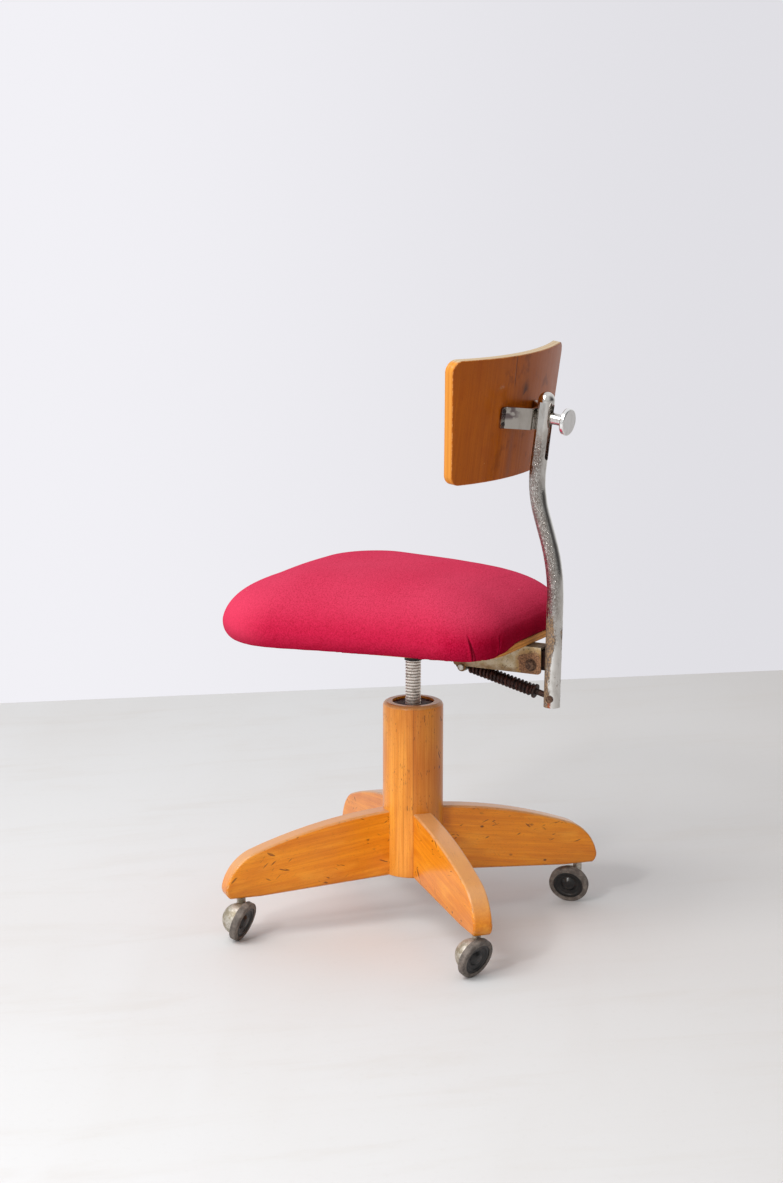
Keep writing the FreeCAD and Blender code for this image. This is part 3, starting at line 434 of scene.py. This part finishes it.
def bare_ply():
    """The seat board: unvarnished plywood with its layers at the edge."""
    ply = Finish("bare_plywood", {"Specular IOR Level": 0.35})
    streak = ply.patch((0.004, 0.15, 0.02), detail=4.0, rough=0.6, bent=0.6)
    cloud = ply.patch(0.07, detail=3.0)
    grainy = ply.patch((0.006, 0.006, 0.0006), detail=3.0, rough=0.7)
    edge = abs(ply.faces(UP)).between(0.8, 0.3)
    layer = (ply.along(UP) * (math.pi / BOARD_LAYER)).wave().between(-0.3, 0.4)
    cut = ply.tint(layer * 0.5, paint(216, 146, 66), paint(170, 96, 34))
    cut = ply.coats(cut, (grainy.between(0.5, 0.7) * 0.5, (120, 66, 26)))
    dark_end = ply.along(REARWARD).between(0.135, 0.175) * edge
    dark_end = dark_end * abs(ply.along(ACROSS)).between(0.03, 0.08)
    colour = ply.tint(streak.between(0.3, 0.7), paint(196, 140, 78), paint(222, 174, 112))
    colour = ply.coats(colour,
                       (cloud.between(0.45, 0.75) * 0.5, (160, 100, 48)),
                       (edge, cut),
                       (dark_end * 0.1, (90, 50, 24)))
    ply.show(base_color=colour, roughness=0.62 + cloud * 0.15,
             normal=ply.bump(streak + grainy * edge, 0.0003))
    return ply


def red_felt():
    """Crimson wool felt with a little lint and tucks, darker low by the hem; painted light on top
    and on the side towards the window, painted shade on the side away from it and in the tucks.
    """
    felt = Finish("red_felt", {"Sheen Weight": 0.05, "Sheen Roughness": 0.4,
                               "Sheen Tint": (1.0, 0.3, 0.45, 1.0),
                               "Specular IOR Level": 0.0, "Roughness": 0.92})
    fibre = felt.patch((0.0019, 0.0015, 0.0016), detail=3.0, rough=0.65)
    tuft = felt.patch((0.0034, 0.003, 0.003), detail=3.0, rough=0.6)
    uneven = felt.patch((0.11, 0.09, 0.1), detail=2.0)
    height = felt.along(UP)
    # the top lighter: dust and a painted sheen from the light above
    top = felt.faces(UP).between(0.1, 1.05) * (0.3 + uneven * 0.35)
    # painted light: the side towards the window lighter
    painted_light_side = felt.faces(AWAY_FROM_WINDOW).between(-0.1, -0.9)
    # painted shade: the side away from the window darker, except on top
    painted_shade_side = felt.faces(AWAY_FROM_WINDOW).between(-0.1, 0.8) * felt.faces(UP).between(0.7, 0.2)
    # darker low on the skirt, by the hem
    darker_low = height.between(0.418, 0.4)
    lint = felt.spots(0.03, 0.0011, 0.28)
    lint = lint.either(felt.spots(0.011, 0.00035, 0.35))
    colour = felt.tint(fibre.between(0.28, 0.72), paint(154, 6, 38), paint(186, 26, 64))
    colour = felt.coats(colour,
                        (tuft.between(0.35, 0.7) * 0.3, (206, 34, 78)),
                        (top, (210, 78, 106)),
                        (fibre.between(0.52, 0.34) * 0.35, (138, 0, 30)),
                        (painted_light_side * 0.5, (222, 72, 102)),
                        (painted_shade_side * 0.7, (120, 0, 20)),
                        (darker_low * 0.18, (140, 6, 34)),
                        (lint * 0.75, (236, 140, 140)))
    for foot, head in TUCKS:
        out = Vector((foot[0], foot[1], 0.0))
        square = (Vector(head) - Vector(foot)).cross(out).normalized()
        beside = felt.along(square) - square.dot(Vector(foot))
        # painted shade down each tuck's groove
        tuck_shade = beside.near(0.0, 0.0016) * height.between(head[2], head[2] - 0.012)
        tuck_shade = tuck_shade * felt.along(out).between(0.0, 0.001)
        colour = felt.coats(colour, (tuck_shade * 0.8, (80, 0, 14)))
    felt.show(base_color=colour, normal=felt.bump(fibre + tuft * 1.5 + lint, 0.00035))
    return felt


def worn_chrome(name, rust_below=None, brushed=0.0, stained_from=None, clean=(220, 218, 214)):
    """Old chrome plate: mirror-like, hazed and pitted, and rusting through low on the post, with a
    painted reflection of the wood on its window side higher up.
    """
    plate = Finish(name, {"Specular IOR Level": 0.5})
    height = plate.along(UP)
    haze = plate.patch((0.012, 0.012, 0.03), detail=4.0, rough=0.65)
    pit = plate.spots(0.004, 0.0006, 0.35)
    pit = pit * plate.patch((0.02, 0.02, 0.03), detail=2.0).between(0.5, 0.65)
    colour = plate.tint(haze.between(0.4, 0.75) * 0.6, paint(*clean), paint(150, 142, 132))
    colour = plate.coats(colour, (pit * 0.8, (84, 62, 48)))
    rough = 0.07 + brushed + haze.between(0.42, 0.8) * 0.16 + pit * 0.3
    metal = 1.0 - pit * 0.7
    if rust_below:
        # Rust in patches, most towards the window, dulled plate round it that is partly a painted
        # reflection of the wood, a drip at the pin
        to_window = plate.faces(AWAY_FROM_WINDOW).between(0.1, -0.85)
        patchy = plate.patch((0.006, 0.006, 0.018), detail=6.0, rough=0.72)
        coarse = plate.patch((0.02, 0.02, 0.05), detail=2.0, shift=(0.2, 0.0, 0.1))
        speck = plate.patch((0.0016, 0.0016, 0.003), detail=3.0, rough=0.7)
        level = height.between(rust_below, rust_below - 0.09)
        rust = patchy * 0.6 + coarse * 0.4 + to_window * 0.16 * level - (1.0 - level) * 0.08
        rust = rust.between(0.54, 0.61)
        rust = rust * (level * 0.9 + 0.1 + to_window * 0.25).between(0.0, 1.0)
        # partly dulled plate, partly a painted reflection of the wood
        dull_and_reflection = plate.faces(AWAY_FROM_WINDOW).between(0.7, -0.1) * height.between(0.675, 0.65)
        dull_and_reflection = dull_and_reflection * (0.4 + speck.between(0.42, 0.54) * 0.6) * height.between(0.40, 0.47)
        drip = plate.along(REARWARD).near(ROD_PIN.y - 0.001, 0.0035)
        drip = drip * height.between(ROD_PIN.z - 0.0025, ROD_PIN.z - 0.0055)
        drip = drip * plate.faces(ACROSS).between(0.2, 0.6) * speck.between(0.3, 0.5)
        rusty = plate.tint(speck.between(0.42, 0.6), paint(58, 36, 22), paint(156, 118, 72))
        colour = plate.coats(colour, (dull_and_reflection * 0.75, (84, 66, 56)), (rust * 0.9, rusty),
                             (drip, (170, 78, 34)))
        rough = rough + rust.either(drip) * 0.5 + dull_and_reflection * 0.25
        metal = (metal - rust.either(drip) * 0.95).either(0.0)
        relief = plate.bump(speck * rust.either(dull_and_reflection * 0.5), 0.0006)
    else:
        relief = plate.bump(haze, 0.00003)
    if stained_from:
        blot = plate.along(ACROSS).between(stained_from, stained_from + 0.01)
        blot = blot * height.between(STUD.z - 0.0035, STUD.z + 0.0015)
        blot = blot * plate.patch((0.01, 0.01, 0.008), detail=3.0,
                                  shift=(0.02, 0.0, 0.0)).between(0.36, 0.5)
        colour = plate.coats(colour, (blot * 0.8, (84, 66, 72)))
    plate.show(base_color=colour, roughness=rough, metallic=metal, normal=relief)
    return plate


def steel(name, pale, stained, share=0.5, rough=0.35, size=0.01, metal=1.0, rust=None):
    """Plain steel with stains over about the given share of it, and rust in scabs."""
    made = Finish(name, {"Specular IOR Level": 0.5})
    cloud = made.patch(size, detail=4.0, rough=0.65)
    fine = made.patch(size * 0.15, detail=2.0, rough=0.6)
    stain = cloud.between(0.62 - share * 0.3, 0.78 - share * 0.3)
    colour = made.tint(stain, paint(*pale), paint(*stained))
    colour = made.coats(colour, (fine.between(0.5, 0.75) * 0.35, stained))
    shine = metal - stain * metal * 0.45
    if rust:
        scab = (cloud * 0.5 + fine * 0.5).between(0.54, 0.62)
        colour = made.coats(colour, (scab, rust))
        shine = shine * (1.0 - scab * 0.8)
    made.show(base_color=colour, roughness=rough + stain * 0.2 + fine * 0.1, metallic=shine,
              normal=made.bump(fine + cloud, 0.00008))
    return made


def spindle_steel():
    """The screw: bright crests, dark grease in the thread."""
    made = Finish("worn_steel", {"Specular IOR Level": 0.5})
    from_axis = (made.along(ACROSS) ** 2.0 + made.along(REARWARD) ** 2.0).root()
    crest = from_axis.between(THREAD_ROOT, THREAD_CREST)
    cloud = made.patch((0.01, 0.01, 0.004), detail=4.0, rough=0.65)
    colour = made.tint(crest, paint(122, 110, 100), paint(240, 234, 227))
    colour = made.coats(colour, (cloud.between(0.52, 0.68) * 0.7, (104, 86, 70)))
    made.show(base_color=colour, roughness=0.36 + cloud * 0.2, metallic=0.6 + crest * 0.35,
              normal=made.bump(cloud, 0.0001))
    return made


def cream_paint():
    """Yellowed cream paint, greasy at the front and rusted through round the pivot bolt, with
    painted shade inside the channel.
    """
    made = Finish("cream_paint", {"Specular IOR Level": 0.5})
    y, z = made.along(REARWARD), made.along(UP)
    cloud = made.patch((0.014, 0.014, 0.01), detail=4.0, rough=0.65)
    fine = made.patch(0.002, detail=4.0, rough=0.7)
    grime = y.between(0.093, 0.07) * 0.75 + z.between(PIVOT.z, PIVOT.z - 0.01) * 0.5 + cloud * 0.5
    from_bolt = ((y - PIVOT.y) ** 2.0 + (z - PIVOT.z) ** 2.0).root()
    reach = from_bolt + (cloud - 0.5) * 0.016 + (fine - 0.5) * 0.006
    rust = reach.between(0.021, 0.0165).either(y.between(0.183, 0.19) * cloud.between(0.3, 0.5))
    rusty = made.tint(fine.between(0.35, 0.65), paint(92, 62, 44), paint(160, 116, 82))
    chips = made.spots(0.009, 0.0012, 0.35) * fine.between(0.4, 0.55)
    smudge = made.patch((0.012, 0.004, 0.003), (0.5, 0.0, 0.0), 2.0).between(0.62, 0.68)
    # painted shade: the channel's inner faces dark
    inside = 1.0 - abs(made.along(ACROSS)).between(BRACKET_INSIDE, BRACKET_OUTSIDE)
    colour = made.tint(cloud.between(0.4, 0.65), paint(190, 180, 154), paint(164, 146, 108))
    colour = made.coats(colour,
                        (grime.between(0.45, 0.95), (120, 86, 36)),
                        (rust, rusty),
                        (reach.near(0.0205, 0.004) * 0.7, (164, 124, 56)),
                        (from_bolt.near(BOLT_HEAD, 0.0014) * 0.85, (34, 22, 18)),
                        (chips * 0.8, (84, 66, 46)),
                        (smudge * y.between(0.12, 0.13) * 0.6, (60, 46, 32)),
                        (inside * 0.8, (44, 30, 22)))
    made.show(base_color=colour, roughness=0.42 + rust * 0.35 + fine * 0.12,
              normal=made.bump(fine * rust + cloud * 0.4 - chips * 0.5, 0.0005))
    return made


def greasy_iron(name, dark, lit, rough=0.4):
    """Blackened steel under old grease and fluff."""
    made = Finish(name, {"Specular IOR Level": 0.5})
    cloud = made.patch(0.008, detail=4.0, rough=0.7)
    fine = made.patch(0.0016, detail=3.0, rough=0.7)
    colour = made.tint(cloud.between(0.42, 0.62) * 0.7 + fine * 0.3, paint(*dark), paint(*lit))
    made.show(base_color=colour, roughness=rough + fine * 0.3, metallic=0.25 + cloud * 0.4,
              normal=made.bump(fine + cloud, 0.0004))
    return made


def zinc():
    """Zinc plate on the casters, clouded and speckled with old dirt."""
    made = Finish("zinc", {"Specular IOR Level": 0.5})
    cloud = made.patch(0.012, detail=4.0, rough=0.65)
    fine = made.patch(0.0016, detail=3.0, rough=0.7)
    colour = made.tint(cloud.between(0.36, 0.62), paint(202, 196, 186), paint(148, 138, 118))
    colour = made.coats(colour, (fine.between(0.52, 0.7) * 0.5, (100, 88, 66)))
    made.show(base_color=colour, roughness=0.38 + cloud * 0.2 + fine * 0.1,
              metallic=0.85 - cloud * 0.3, normal=made.bump(fine + cloud, 0.00015))
    return made


def rubber(name, face, chalky):
    """Old rubber or foam with a chalky bloom."""
    made = Finish(name, {"Specular IOR Level": 0.4})
    cloud = made.patch(0.009, detail=4.0, rough=0.65)
    fine = made.patch(0.0012, detail=3.0, rough=0.7)
    bloom = cloud.between(0.35, 0.65) * 0.6 + fine * 0.4
    made.show(base_color=made.tint(bloom, paint(*face), paint(*chalky)),
              roughness=0.6 + fine * 0.25, normal=made.bump(fine + cloud, 0.0002))
    return made


def wheel_plastic():
    """Moulded black plastic, dusty in places."""
    made = Finish("wheel_plastic",
                  {"Specular IOR Level": 0.4, "Coat Weight": 0.15, "Coat Roughness": 0.12})
    cloud = made.patch(0.01, detail=4.0, rough=0.6)
    dust = made.patch(0.002, detail=4.0, rough=0.75)
    dusty = cloud.between(0.45, 0.7) * 0.3 + dust.between(0.5, 0.7) * 0.25
    made.show(base_color=made.tint(dusty, paint(15, 13, 13), paint(58, 54, 50)),
              roughness=0.26 + dust * 0.25, normal=made.bump(dust, 0.00008))
    return made


# Made pieces
def as_piece(name, shape):
    """A bmesh becomes an object at the origin."""
    mesh = bpy.data.meshes.new(name)
    shape.to_mesh(mesh)
    shape.free()
    piece = bpy.data.objects.new(name, mesh)
    scene.collection.objects.link(piece)
    return piece


def finish_piece(name, shape, finish, body):
    """A bmesh becomes a smooth piece in its finish that rides on a body."""
    piece = as_piece(name, shape)
    for face in piece.data.polygons:
        face.use_smooth = True
    piece.data.materials.append(finish.material)
    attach(piece, body)
    return piece


def apply_modifiers(piece):
    """The piece's mesh as its modifiers leave it, without them."""
    bpy.context.view_layer.update()
    depsgraph = bpy.context.evaluated_depsgraph_get()
    mesh = bpy.data.meshes.new_from_object(piece.evaluated_get(depsgraph))
    piece.modifiers.clear()
    piece.data = mesh


def smooth_step(value, low, high):
    """0 up to low, 1 from high on, and smooth in between."""
    share = max(0.0, min(1.0, (value - low) / (high - low)))
    return share * share * (3.0 - 2.0 * share)


def soften(shape, verts, factor):
    """Moves points part of the way to the middle of their neighbours."""
    bmesh.ops.smooth_vert(shape, verts=verts, factor=factor,
                          use_axis_x=True, use_axis_y=True, use_axis_z=True)


# Cushion: the cover's outside, drawn in, then blown up as cloth over its foam
SHARP_EDGE = 0.8                                   # radians; the hem turns under past it
VOXEL = 0.0045
SWELL_MOST = 0.0045                                # no point moves further than this
SWELL_STEPS = 20
SOFTENINGS = 30


def cover_outside():
    """The felt's outer surface from the CAD cover, closed with a flat underside."""
    shell = bmesh.new()
    shell.from_mesh(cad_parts["seat_cover"].data)
    bmesh.ops.remove_doubles(shell, verts=shell.verts, dist=0.00002)
    shell.faces.ensure_lookup_table()
    crown = max(shell.faces, key=lambda face: face.calc_center_median().z)
    reached, waiting = {crown}, [crown]
    while waiting:
        for edge in waiting.pop().edges:
            if len(edge.link_faces) == 2 and edge.calc_face_angle(0.0) < SHARP_EDGE:
                for face in edge.link_faces:
                    if face not in reached:
                        reached.add(face)
                        waiting.append(face)
    inner = [face for face in shell.faces if face not in reached]
    bmesh.ops.delete(shell, geom=inner, context="FACES")
    rim = [edge for edge in shell.edges if edge.is_boundary]
    bmesh.ops.holes_fill(shell, edges=rim, sides=0)
    bmesh.ops.triangulate(shell, faces=[face for face in shell.faces if len(face.verts) > 3])
    bmesh.ops.recalc_face_normals(shell, faces=shell.faces)
    return shell


def draw_in(piece):
    """Room for the cloth to swell into: a little in from the sides, more from the top."""
    normals = [vertex.normal.copy() for vertex in piece.data.vertices]
    for vertex, normal in zip(piece.data.vertices, normals):
        depth = 0.0006 + 0.002 * max(0.0, normal.z)
        vertex.co -= normal * depth * smooth_step(vertex.co.z, HEM + 0.003, HEM + 0.016)
    piece.data.update()


def swell(piece):
    """Cloth under air pressure, held along the hem."""
    start = [vertex.co.copy() for vertex in piece.data.vertices]
    held = piece.vertex_groups.new(name="held")
    for vertex in piece.data.vertices:
        weight = 1.0 - smooth_step(vertex.co.z, HEM + 0.004, HEM + 0.014)
        if weight > 0.0:
            held.add([vertex.index], weight, "REPLACE")
    cloth = piece.modifiers.new("cloth", "CLOTH")
    cloth.settings.quality = 6
    cloth.settings.mass = 0.25
    cloth.settings.tension_stiffness = 18.0
    cloth.settings.bending_stiffness = 1.2
    cloth.settings.use_pressure = True
    cloth.settings.uniform_pressure_force = 4.0
    cloth.settings.effector_weights.gravity = 0.0
    cloth.settings.vertex_group_mass = "held"
    cloth.point_cache.frame_end = SWELL_STEPS
    for step in range(SWELL_STEPS):
        scene.frame_set(step + 1)
    depsgraph = bpy.context.evaluated_depsgraph_get()
    blown = [vertex.co.copy() for vertex in piece.evaluated_get(depsgraph).data.vertices]
    piece.modifiers.clear()
    scene.frame_set(1)

    # The moves, kept outwards and short, are evened out before they are made
    moves = bmesh.new()
    moves.from_mesh(piece.data)
    moves.normal_update()
    for vertex, before, after in zip(moves.verts, start, blown):
        move = after - before
        move -= vertex.normal * min(0.0, move.dot(vertex.normal))
        vertex.co = move * (SWELL_MOST / move.length) if move.length > SWELL_MOST else move
    for _ in range(SOFTENINGS):
        soften(moves, moves.verts, 0.5)
    for vertex, before, moved in zip(piece.data.vertices, start, moves.verts):
        vertex.co = before + moved.co * smooth_step(before.z, HEM, HEM + 0.008)
    moves.free()


def tuck(shape, foot, head):
    """A tuck in the skirt: the cloth dives under a fold that stands proud beside it."""
    foot, head = Vector(foot), Vector(head)
    line = head - foot

    def close(edge):
        offset = edge.verts[0].co - foot
        aside = line.cross(offset).length / line.length
        return offset.length < 0.04 and edge.verts[0].co.z > HEM - 0.001 and aside < 0.011
    finer = [edge for edge in shape.edges if close(edge)]
    bmesh.ops.subdivide_edges(shape, edges=finer, cuts=2, use_grid_fill=True)
    shape.normal_update()
    for vertex in shape.verts:
        offset = vertex.co - foot
        if offset.length > 0.05 or vertex.co.z < HEM - 0.002:
            continue
        share = offset.z / line.z
        outward = Vector((vertex.normal.x, vertex.normal.y, 0.0))
        if share > 1.0 or outward.length < 0.3:
            continue
        outward.normalize()
        aside = Vector((-outward.y, outward.x, 0.0)).dot(vertex.co - (foot + line * share))
        fade = 1.0 - max(0.0, share) ** 2.0
        groove = math.exp(-(aside / TUCK_WIDTH) ** 2)
        fold = math.exp(-((aside + 2.0 * TUCK_WIDTH) / (1.8 * TUCK_WIDTH)) ** 2)
        vertex.co += outward * fade * TUCK_DEPTH * (0.4 * fold - groove)


def ease_hem(shape):
    """The lower skirt rises at the rear, where the board shows, and droops beside and in front."""
    for vertex in shape.verts:
        x, y = abs(vertex.co.x), vertex.co.y
        low = 1.0 - smooth_step(vertex.co.z, HEM + 0.002, HEM + 0.022)
        beside = smooth_step(x, 0.04, 0.088)
        rear = smooth_step(y, 0.11, 0.15)
        front = smooth_step(-y, -0.08, 0.17)
        corner = smooth_step(y, 0.12, 0.15) * smooth_step(x, 0.086, 0.102)
        flank = smooth_step(y, 0.05, 0.11) * beside
        lift = rear * (0.0036 - 0.0056 * beside) - 0.0030 * front * (1.0 - rear) - 0.0008
        droop = 0.0034 * corner + 0.0014 * flank
        vertex.co.z += low * (lift - droop)


def sit_on_board(shape):
    """Turns the open underside up round the board, on its top and just off its edge."""
    board = bmesh.new()
    board.from_mesh(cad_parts["seat_board"].data)
    tree = BVHTree.FromBMesh(board)
    for vertex in shape.verts:
        distance = tree.find_nearest(vertex.co)[3]
        above = tree.ray_cast(vertex.co, Vector((0, 0, -1)))[0] is not None
        inside = above and vertex.co.z < BOARD_TOP
        if inside and (vertex.normal.z < -0.3 or distance < 0.004):
            level = Vector((vertex.co.x, vertex.co.y, BOARD_MIDDLE))
            side, _, _, gap = tree.find_nearest(level)
            if gap > 0.0046 or abs(side.z - level.z) > 0.003:
                vertex.co.z = BOARD_TOP + FELT_GAP
            else:
                outward = (side - level).normalized()
                vertex.co.x = side.x + outward.x * FELT_GAP
                vertex.co.y = side.y + outward.y * FELT_GAP
    board.free()
    soften(shape, [vertex for vertex in shape.verts if vertex.co.z > BOARD_TOP + 0.01], 0.2)


def seat_cushion(felt):
    """One padded cushion in place of the CAD cover and foam."""
    shape = cover_outside()
    for vertex in shape.verts:
        vertex.co.z = max(vertex.co.z, HEM)
    piece = as_piece("cushion_shape", shape)
    remesh = piece.modifiers.new("even", "REMESH")
    remesh.mode = "VOXEL"
    remesh.voxel_size = VOXEL
    apply_modifiers(piece)
    draw_in(piece)
    swell(piece)
    smooth = piece.modifiers.new("smooth", "SUBSURF")
    smooth.levels = smooth.render_levels = 1
    apply_modifiers(piece)
    shape = bmesh.new()
    shape.from_mesh(piece.data)
    bpy.data.objects.remove(piece)
    shape.normal_update()
    for foot, head in TUCKS:
        tuck(shape, foot, head)
    ease_hem(shape)
    sit_on_board(shape)
    piece = finish_piece("seat_cushion", shape, felt, "seat")
    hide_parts("seat_cover", "seat_foam")


# Tilt spring: one wire wound round a dark core, from the collar to the trunnion
WIRE, COIL = 0.0017, 0.0068                        # the wire's radius and the winding's
TURNS, STEPS_A_TURN = 17, 28
COLLAR_FOOT, COLLAR_THICK = 0.0246, 0.003          # up the rod from its pin
TRUNNION_RADIUS = 0.0065
SPRING_GAP = 0.0003
CORE = COIL - 0.0009


def wound_spring(iron):
    """The coil in place of the CAD spring, riding on its rod."""
    rod = TRUNNION - ROD_PIN
    along = rod.normalized()
    start = COLLAR_FOOT + COLLAR_THICK + SPRING_GAP
    end = rod.length - TRUNNION_RADIUS - SPRING_GAP
    steps = TURNS * STEPS_A_TURN
    rise = (end - start - 2.0 * WIRE) / steps
    shape = bmesh.new()
    upright = Matrix.Translation((COIL, 0.0, 0.0)) @ Matrix.Rotation(math.radians(90.0), 4, "X")
    bmesh.ops.create_circle(shape, cap_ends=False, segments=12, radius=WIRE, matrix=upright)
    bmesh.ops.spin(shape, geom=shape.verts[:] + shape.edges[:], cent=(0, 0, 0), axis=UP,
                   dvec=(0, 0, rise), angle=2.0 * math.pi * TURNS, steps=steps,
                   use_merge=False, use_duplicate=False)
    ends = [edge for edge in shape.edges if edge.is_boundary]
    bmesh.ops.holes_fill(shape, edges=ends, sides=0)
    bmesh.ops.recalc_face_normals(shape, faces=shape.faces)
    turn = Vector(UP).rotation_difference(along).to_matrix().to_4x4()
    shift = Matrix.Translation(ROD_PIN + along * (start + WIRE))
    bmesh.ops.transform(shape, matrix=shift @ turn, verts=shape.verts)
    middle = Matrix.Translation(ROD_PIN + along * (start + end) * 0.5)
    bmesh.ops.create_cone(shape, cap_ends=True, segments=24, radius1=CORE, radius2=CORE,
                          depth=end - start - 0.001, matrix=middle @ turn)
    piece = finish_piece("wound_spring", shape, iron, "rod")
    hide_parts("tilt_spring")
    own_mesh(piece)


# Room and light
def area_light(name, place, aim_height, width, power, colour):
    """A round soft light, aimed at the column's axis or at the seat above it."""
    data = bpy.data.lights.new(name, "AREA")
    data.shape = "DISK"
    data.size = width
    data.energy = power
    data.color = colour
    lamp = bpy.data.objects.new(name, data)
    lamp.location = place
    aim = Vector((0.0, 0.0, aim_height)) - Vector(place)
    lamp.rotation_euler = aim.to_track_quat("-Z", "Y").to_euler()
    scene.collection.objects.link(lamp)


def floor():
    """A pale floor, faintly smeared and painted darker away from the window, that ends where the
    wall stands behind the chair.
    """
    shape = bmesh.new()
    inward = Vector((WALL_LINE.y, -WALL_LINE.x, 0.0))
    bmesh.ops.create_grid(shape, x_segments=1, y_segments=1, size=FLOOR_HALF)
    turn = Matrix((WALL_LINE, inward, Vector(UP))).transposed().to_4x4()
    shift = Matrix.Translation(WALL_FOOT + inward * FLOOR_HALF)
    bmesh.ops.transform(shape, matrix=shift @ turn, verts=shape.verts)
    bmesh.ops.recalc_face_normals(shape, faces=shape.faces)
    ground = Finish("floor", {"Roughness": 0.75, "Specular IOR Level": 0.2})
    drift = ground.patch((0.9, 0.25, 1.0), (0.0, 0.0, 0.4), 3.0, 0.55, 0.4)
    smear = ground.patch((0.4, 0.09, 1.0), (0.0, 0.0, 2.3), 5.0, 0.65, 0.6)
    speck = ground.patch(0.01, detail=2.0)
    # painted shade: the floor darker away from the window, as the light falls off
    unlit = ground.along(AWAY_FROM_WINDOW).between(-0.5, 1.3)
    colour = ground.tint(drift.between(0.35, 0.75) * 0.35, paint(211, 211, 212),
                         paint(203, 200, 198))
    colour = ground.coats(colour,
                          (unlit * 0.65, (186, 181, 178)),
                          (speck.between(0.6, 0.7) * 0.05, (180, 176, 170)),
                          (smear.between(0.48, 0.75) * 0.2, (192, 184, 176)))
    ground.show(base_color=colour)
    piece = as_piece("floor", shape)
    if piece.data.polygons[0].normal.z < 0:
        piece.data.flip_normals()
    piece.data.materials.append(ground.material)


def studio_world():
    """Pale walls for the camera, painted brighter towards the window; for the light, a room that
    is brighter towards the window.
    """
    world = bpy.data.worlds.new("world")
    world.use_nodes = True
    room = Nodes(world.node_tree)
    outwards = room.read(room.node("ShaderNodeTexCoord"), "Generated")

    def towards(direction, low, high):
        return room.dot(outwards, direction.normalized()).between(low, high)
    window = -AWAY_FROM_WINDOW
    camera = Vector((math.cos(CAMERA_AROUND), math.sin(CAMERA_AROUND), 0.0))
    pale_wall = window * 0.6 - camera * 0.7 + Vector(UP) * 0.4
    over_camera = camera + window * 0.25 + Vector(UP) * 0.45
    light = room.tint(towards(pale_wall, -0.62, 0.15), (0.09, 0.088, 0.088, 1.0),
                      (0.85, 0.85, 0.86, 1.0))
    light = room.tint(towards(over_camera, 0.2, 1.0), light, (0.72, 0.72, 0.71, 1.0))
    # painted light: the wall the camera sees brighter towards the window
    wall = room.tint(towards(window, -0.14, 0.14), paint(224, 223, 228), paint(242, 241, 246))
    seen = room.read(room.node("ShaderNodeLightPath"), "Is Camera Ray")
    background = room.tree.nodes["Background"]
    room.tree.links.new(room.tint(seen, light, wall).socket, background.inputs["Color"])
    background.inputs["Strength"].default_value = 1.0
    scene.world = world


place_camera()
floor()
studio_world()
for light in LIGHTS:
    area_light(*light)

# Finishes on the CAD nodes: wood
dress(beech("varnished_beech", GRAIN_UP, UP, light=(242, 162, 62), dark=(222, 136, 40),
            two_boards=True, vessels=0.34), "column")
for number in LEGS:
    around = math.radians(FIRST_LEG + 90.0 * (number - 1))
    thickness = (-math.sin(around), math.cos(around), 0.0)
    dress(beech("leg_beech_%d" % number, (0.0, LEG_GRAIN_TILT, around), thickness),
          "leg_%d" % number)
dress(back_veneer(), "backrest")
dress(bare_ply(), "seat_board")

# Plated and painted steel
dress(worn_chrome("worn_chrome", rust_below=0.50), "post")
dress(worn_chrome("cap_chrome"), "post_cap")
dress(worn_chrome("knob_chrome", brushed=0.08, clean=(240, 240, 240)), "knob")
dress(worn_chrome("strap_chrome", brushed=0.06, stained_from=0.02, clean=(182, 178, 172)),
      "back_strap")
dress(spindle_steel(), "spindle")
dress(cream_paint(), "bracket")
dress(steel("plain_steel", (190, 186, 178), (120, 108, 92), rough=0.3, size=0.008),
      "stud", "knob_washer", "trunnion")
dress(steel("bright_screws", (206, 204, 198), (140, 130, 112), share=0.3, rough=0.28, size=0.006),
      "bracket_screws", "seat_iron_screws")
dress(steel("rusty_steel", (120, 92, 72), (70, 48, 36), share=0.8, rough=0.5, size=0.006,
            metal=0.6, rust=(104, 70, 50)), "pivot_bolt", "pivot_washer", "pivot_nut", "rod_pin")

# Greasy iron
dress(greasy_iron("dark_steel", (26, 17, 14), (74, 44, 34)),
      "seat_iron", "spindle_nut", "pivot_lug", "spring_rod", "spring_collar", "rod_nut")
for screws in ("nut_screws", "strap_screws"):
    dress(greasy_iron(screws + "_iron", (30, 20, 20), (70, 52, 48), rough=0.35), screws)
spring_iron = greasy_iron("spring_iron", (18, 10, 9), (84, 44, 34), rough=0.32)
dress(spring_iron, "tilt_spring")

# Casters and buffer
hood, tyre, disc = zinc(), rubber("tyre_rubber", (68, 62, 58), (128, 118, 110)), wheel_plastic()
dress(hood, "caster_sockets")
for number in LEGS:
    dress(hood, *("caster_%s_%d" % (part, number) for part in ("stem", "hood", "axle")))
    dress(disc, "wheel_%d" % number)
    dress(tyre, "tyre_%d" % number)
dress(rubber("black_buffer", (26, 24, 24), (52, 50, 48)), "buffer_ring")

# Felt and foam
felt = red_felt()
dress(felt, "seat_cover")
dress(rubber("foam", (214, 196, 140), (196, 172, 110)), "seat_foam")
seat_cushion(felt)
wound_spring(spring_iron)
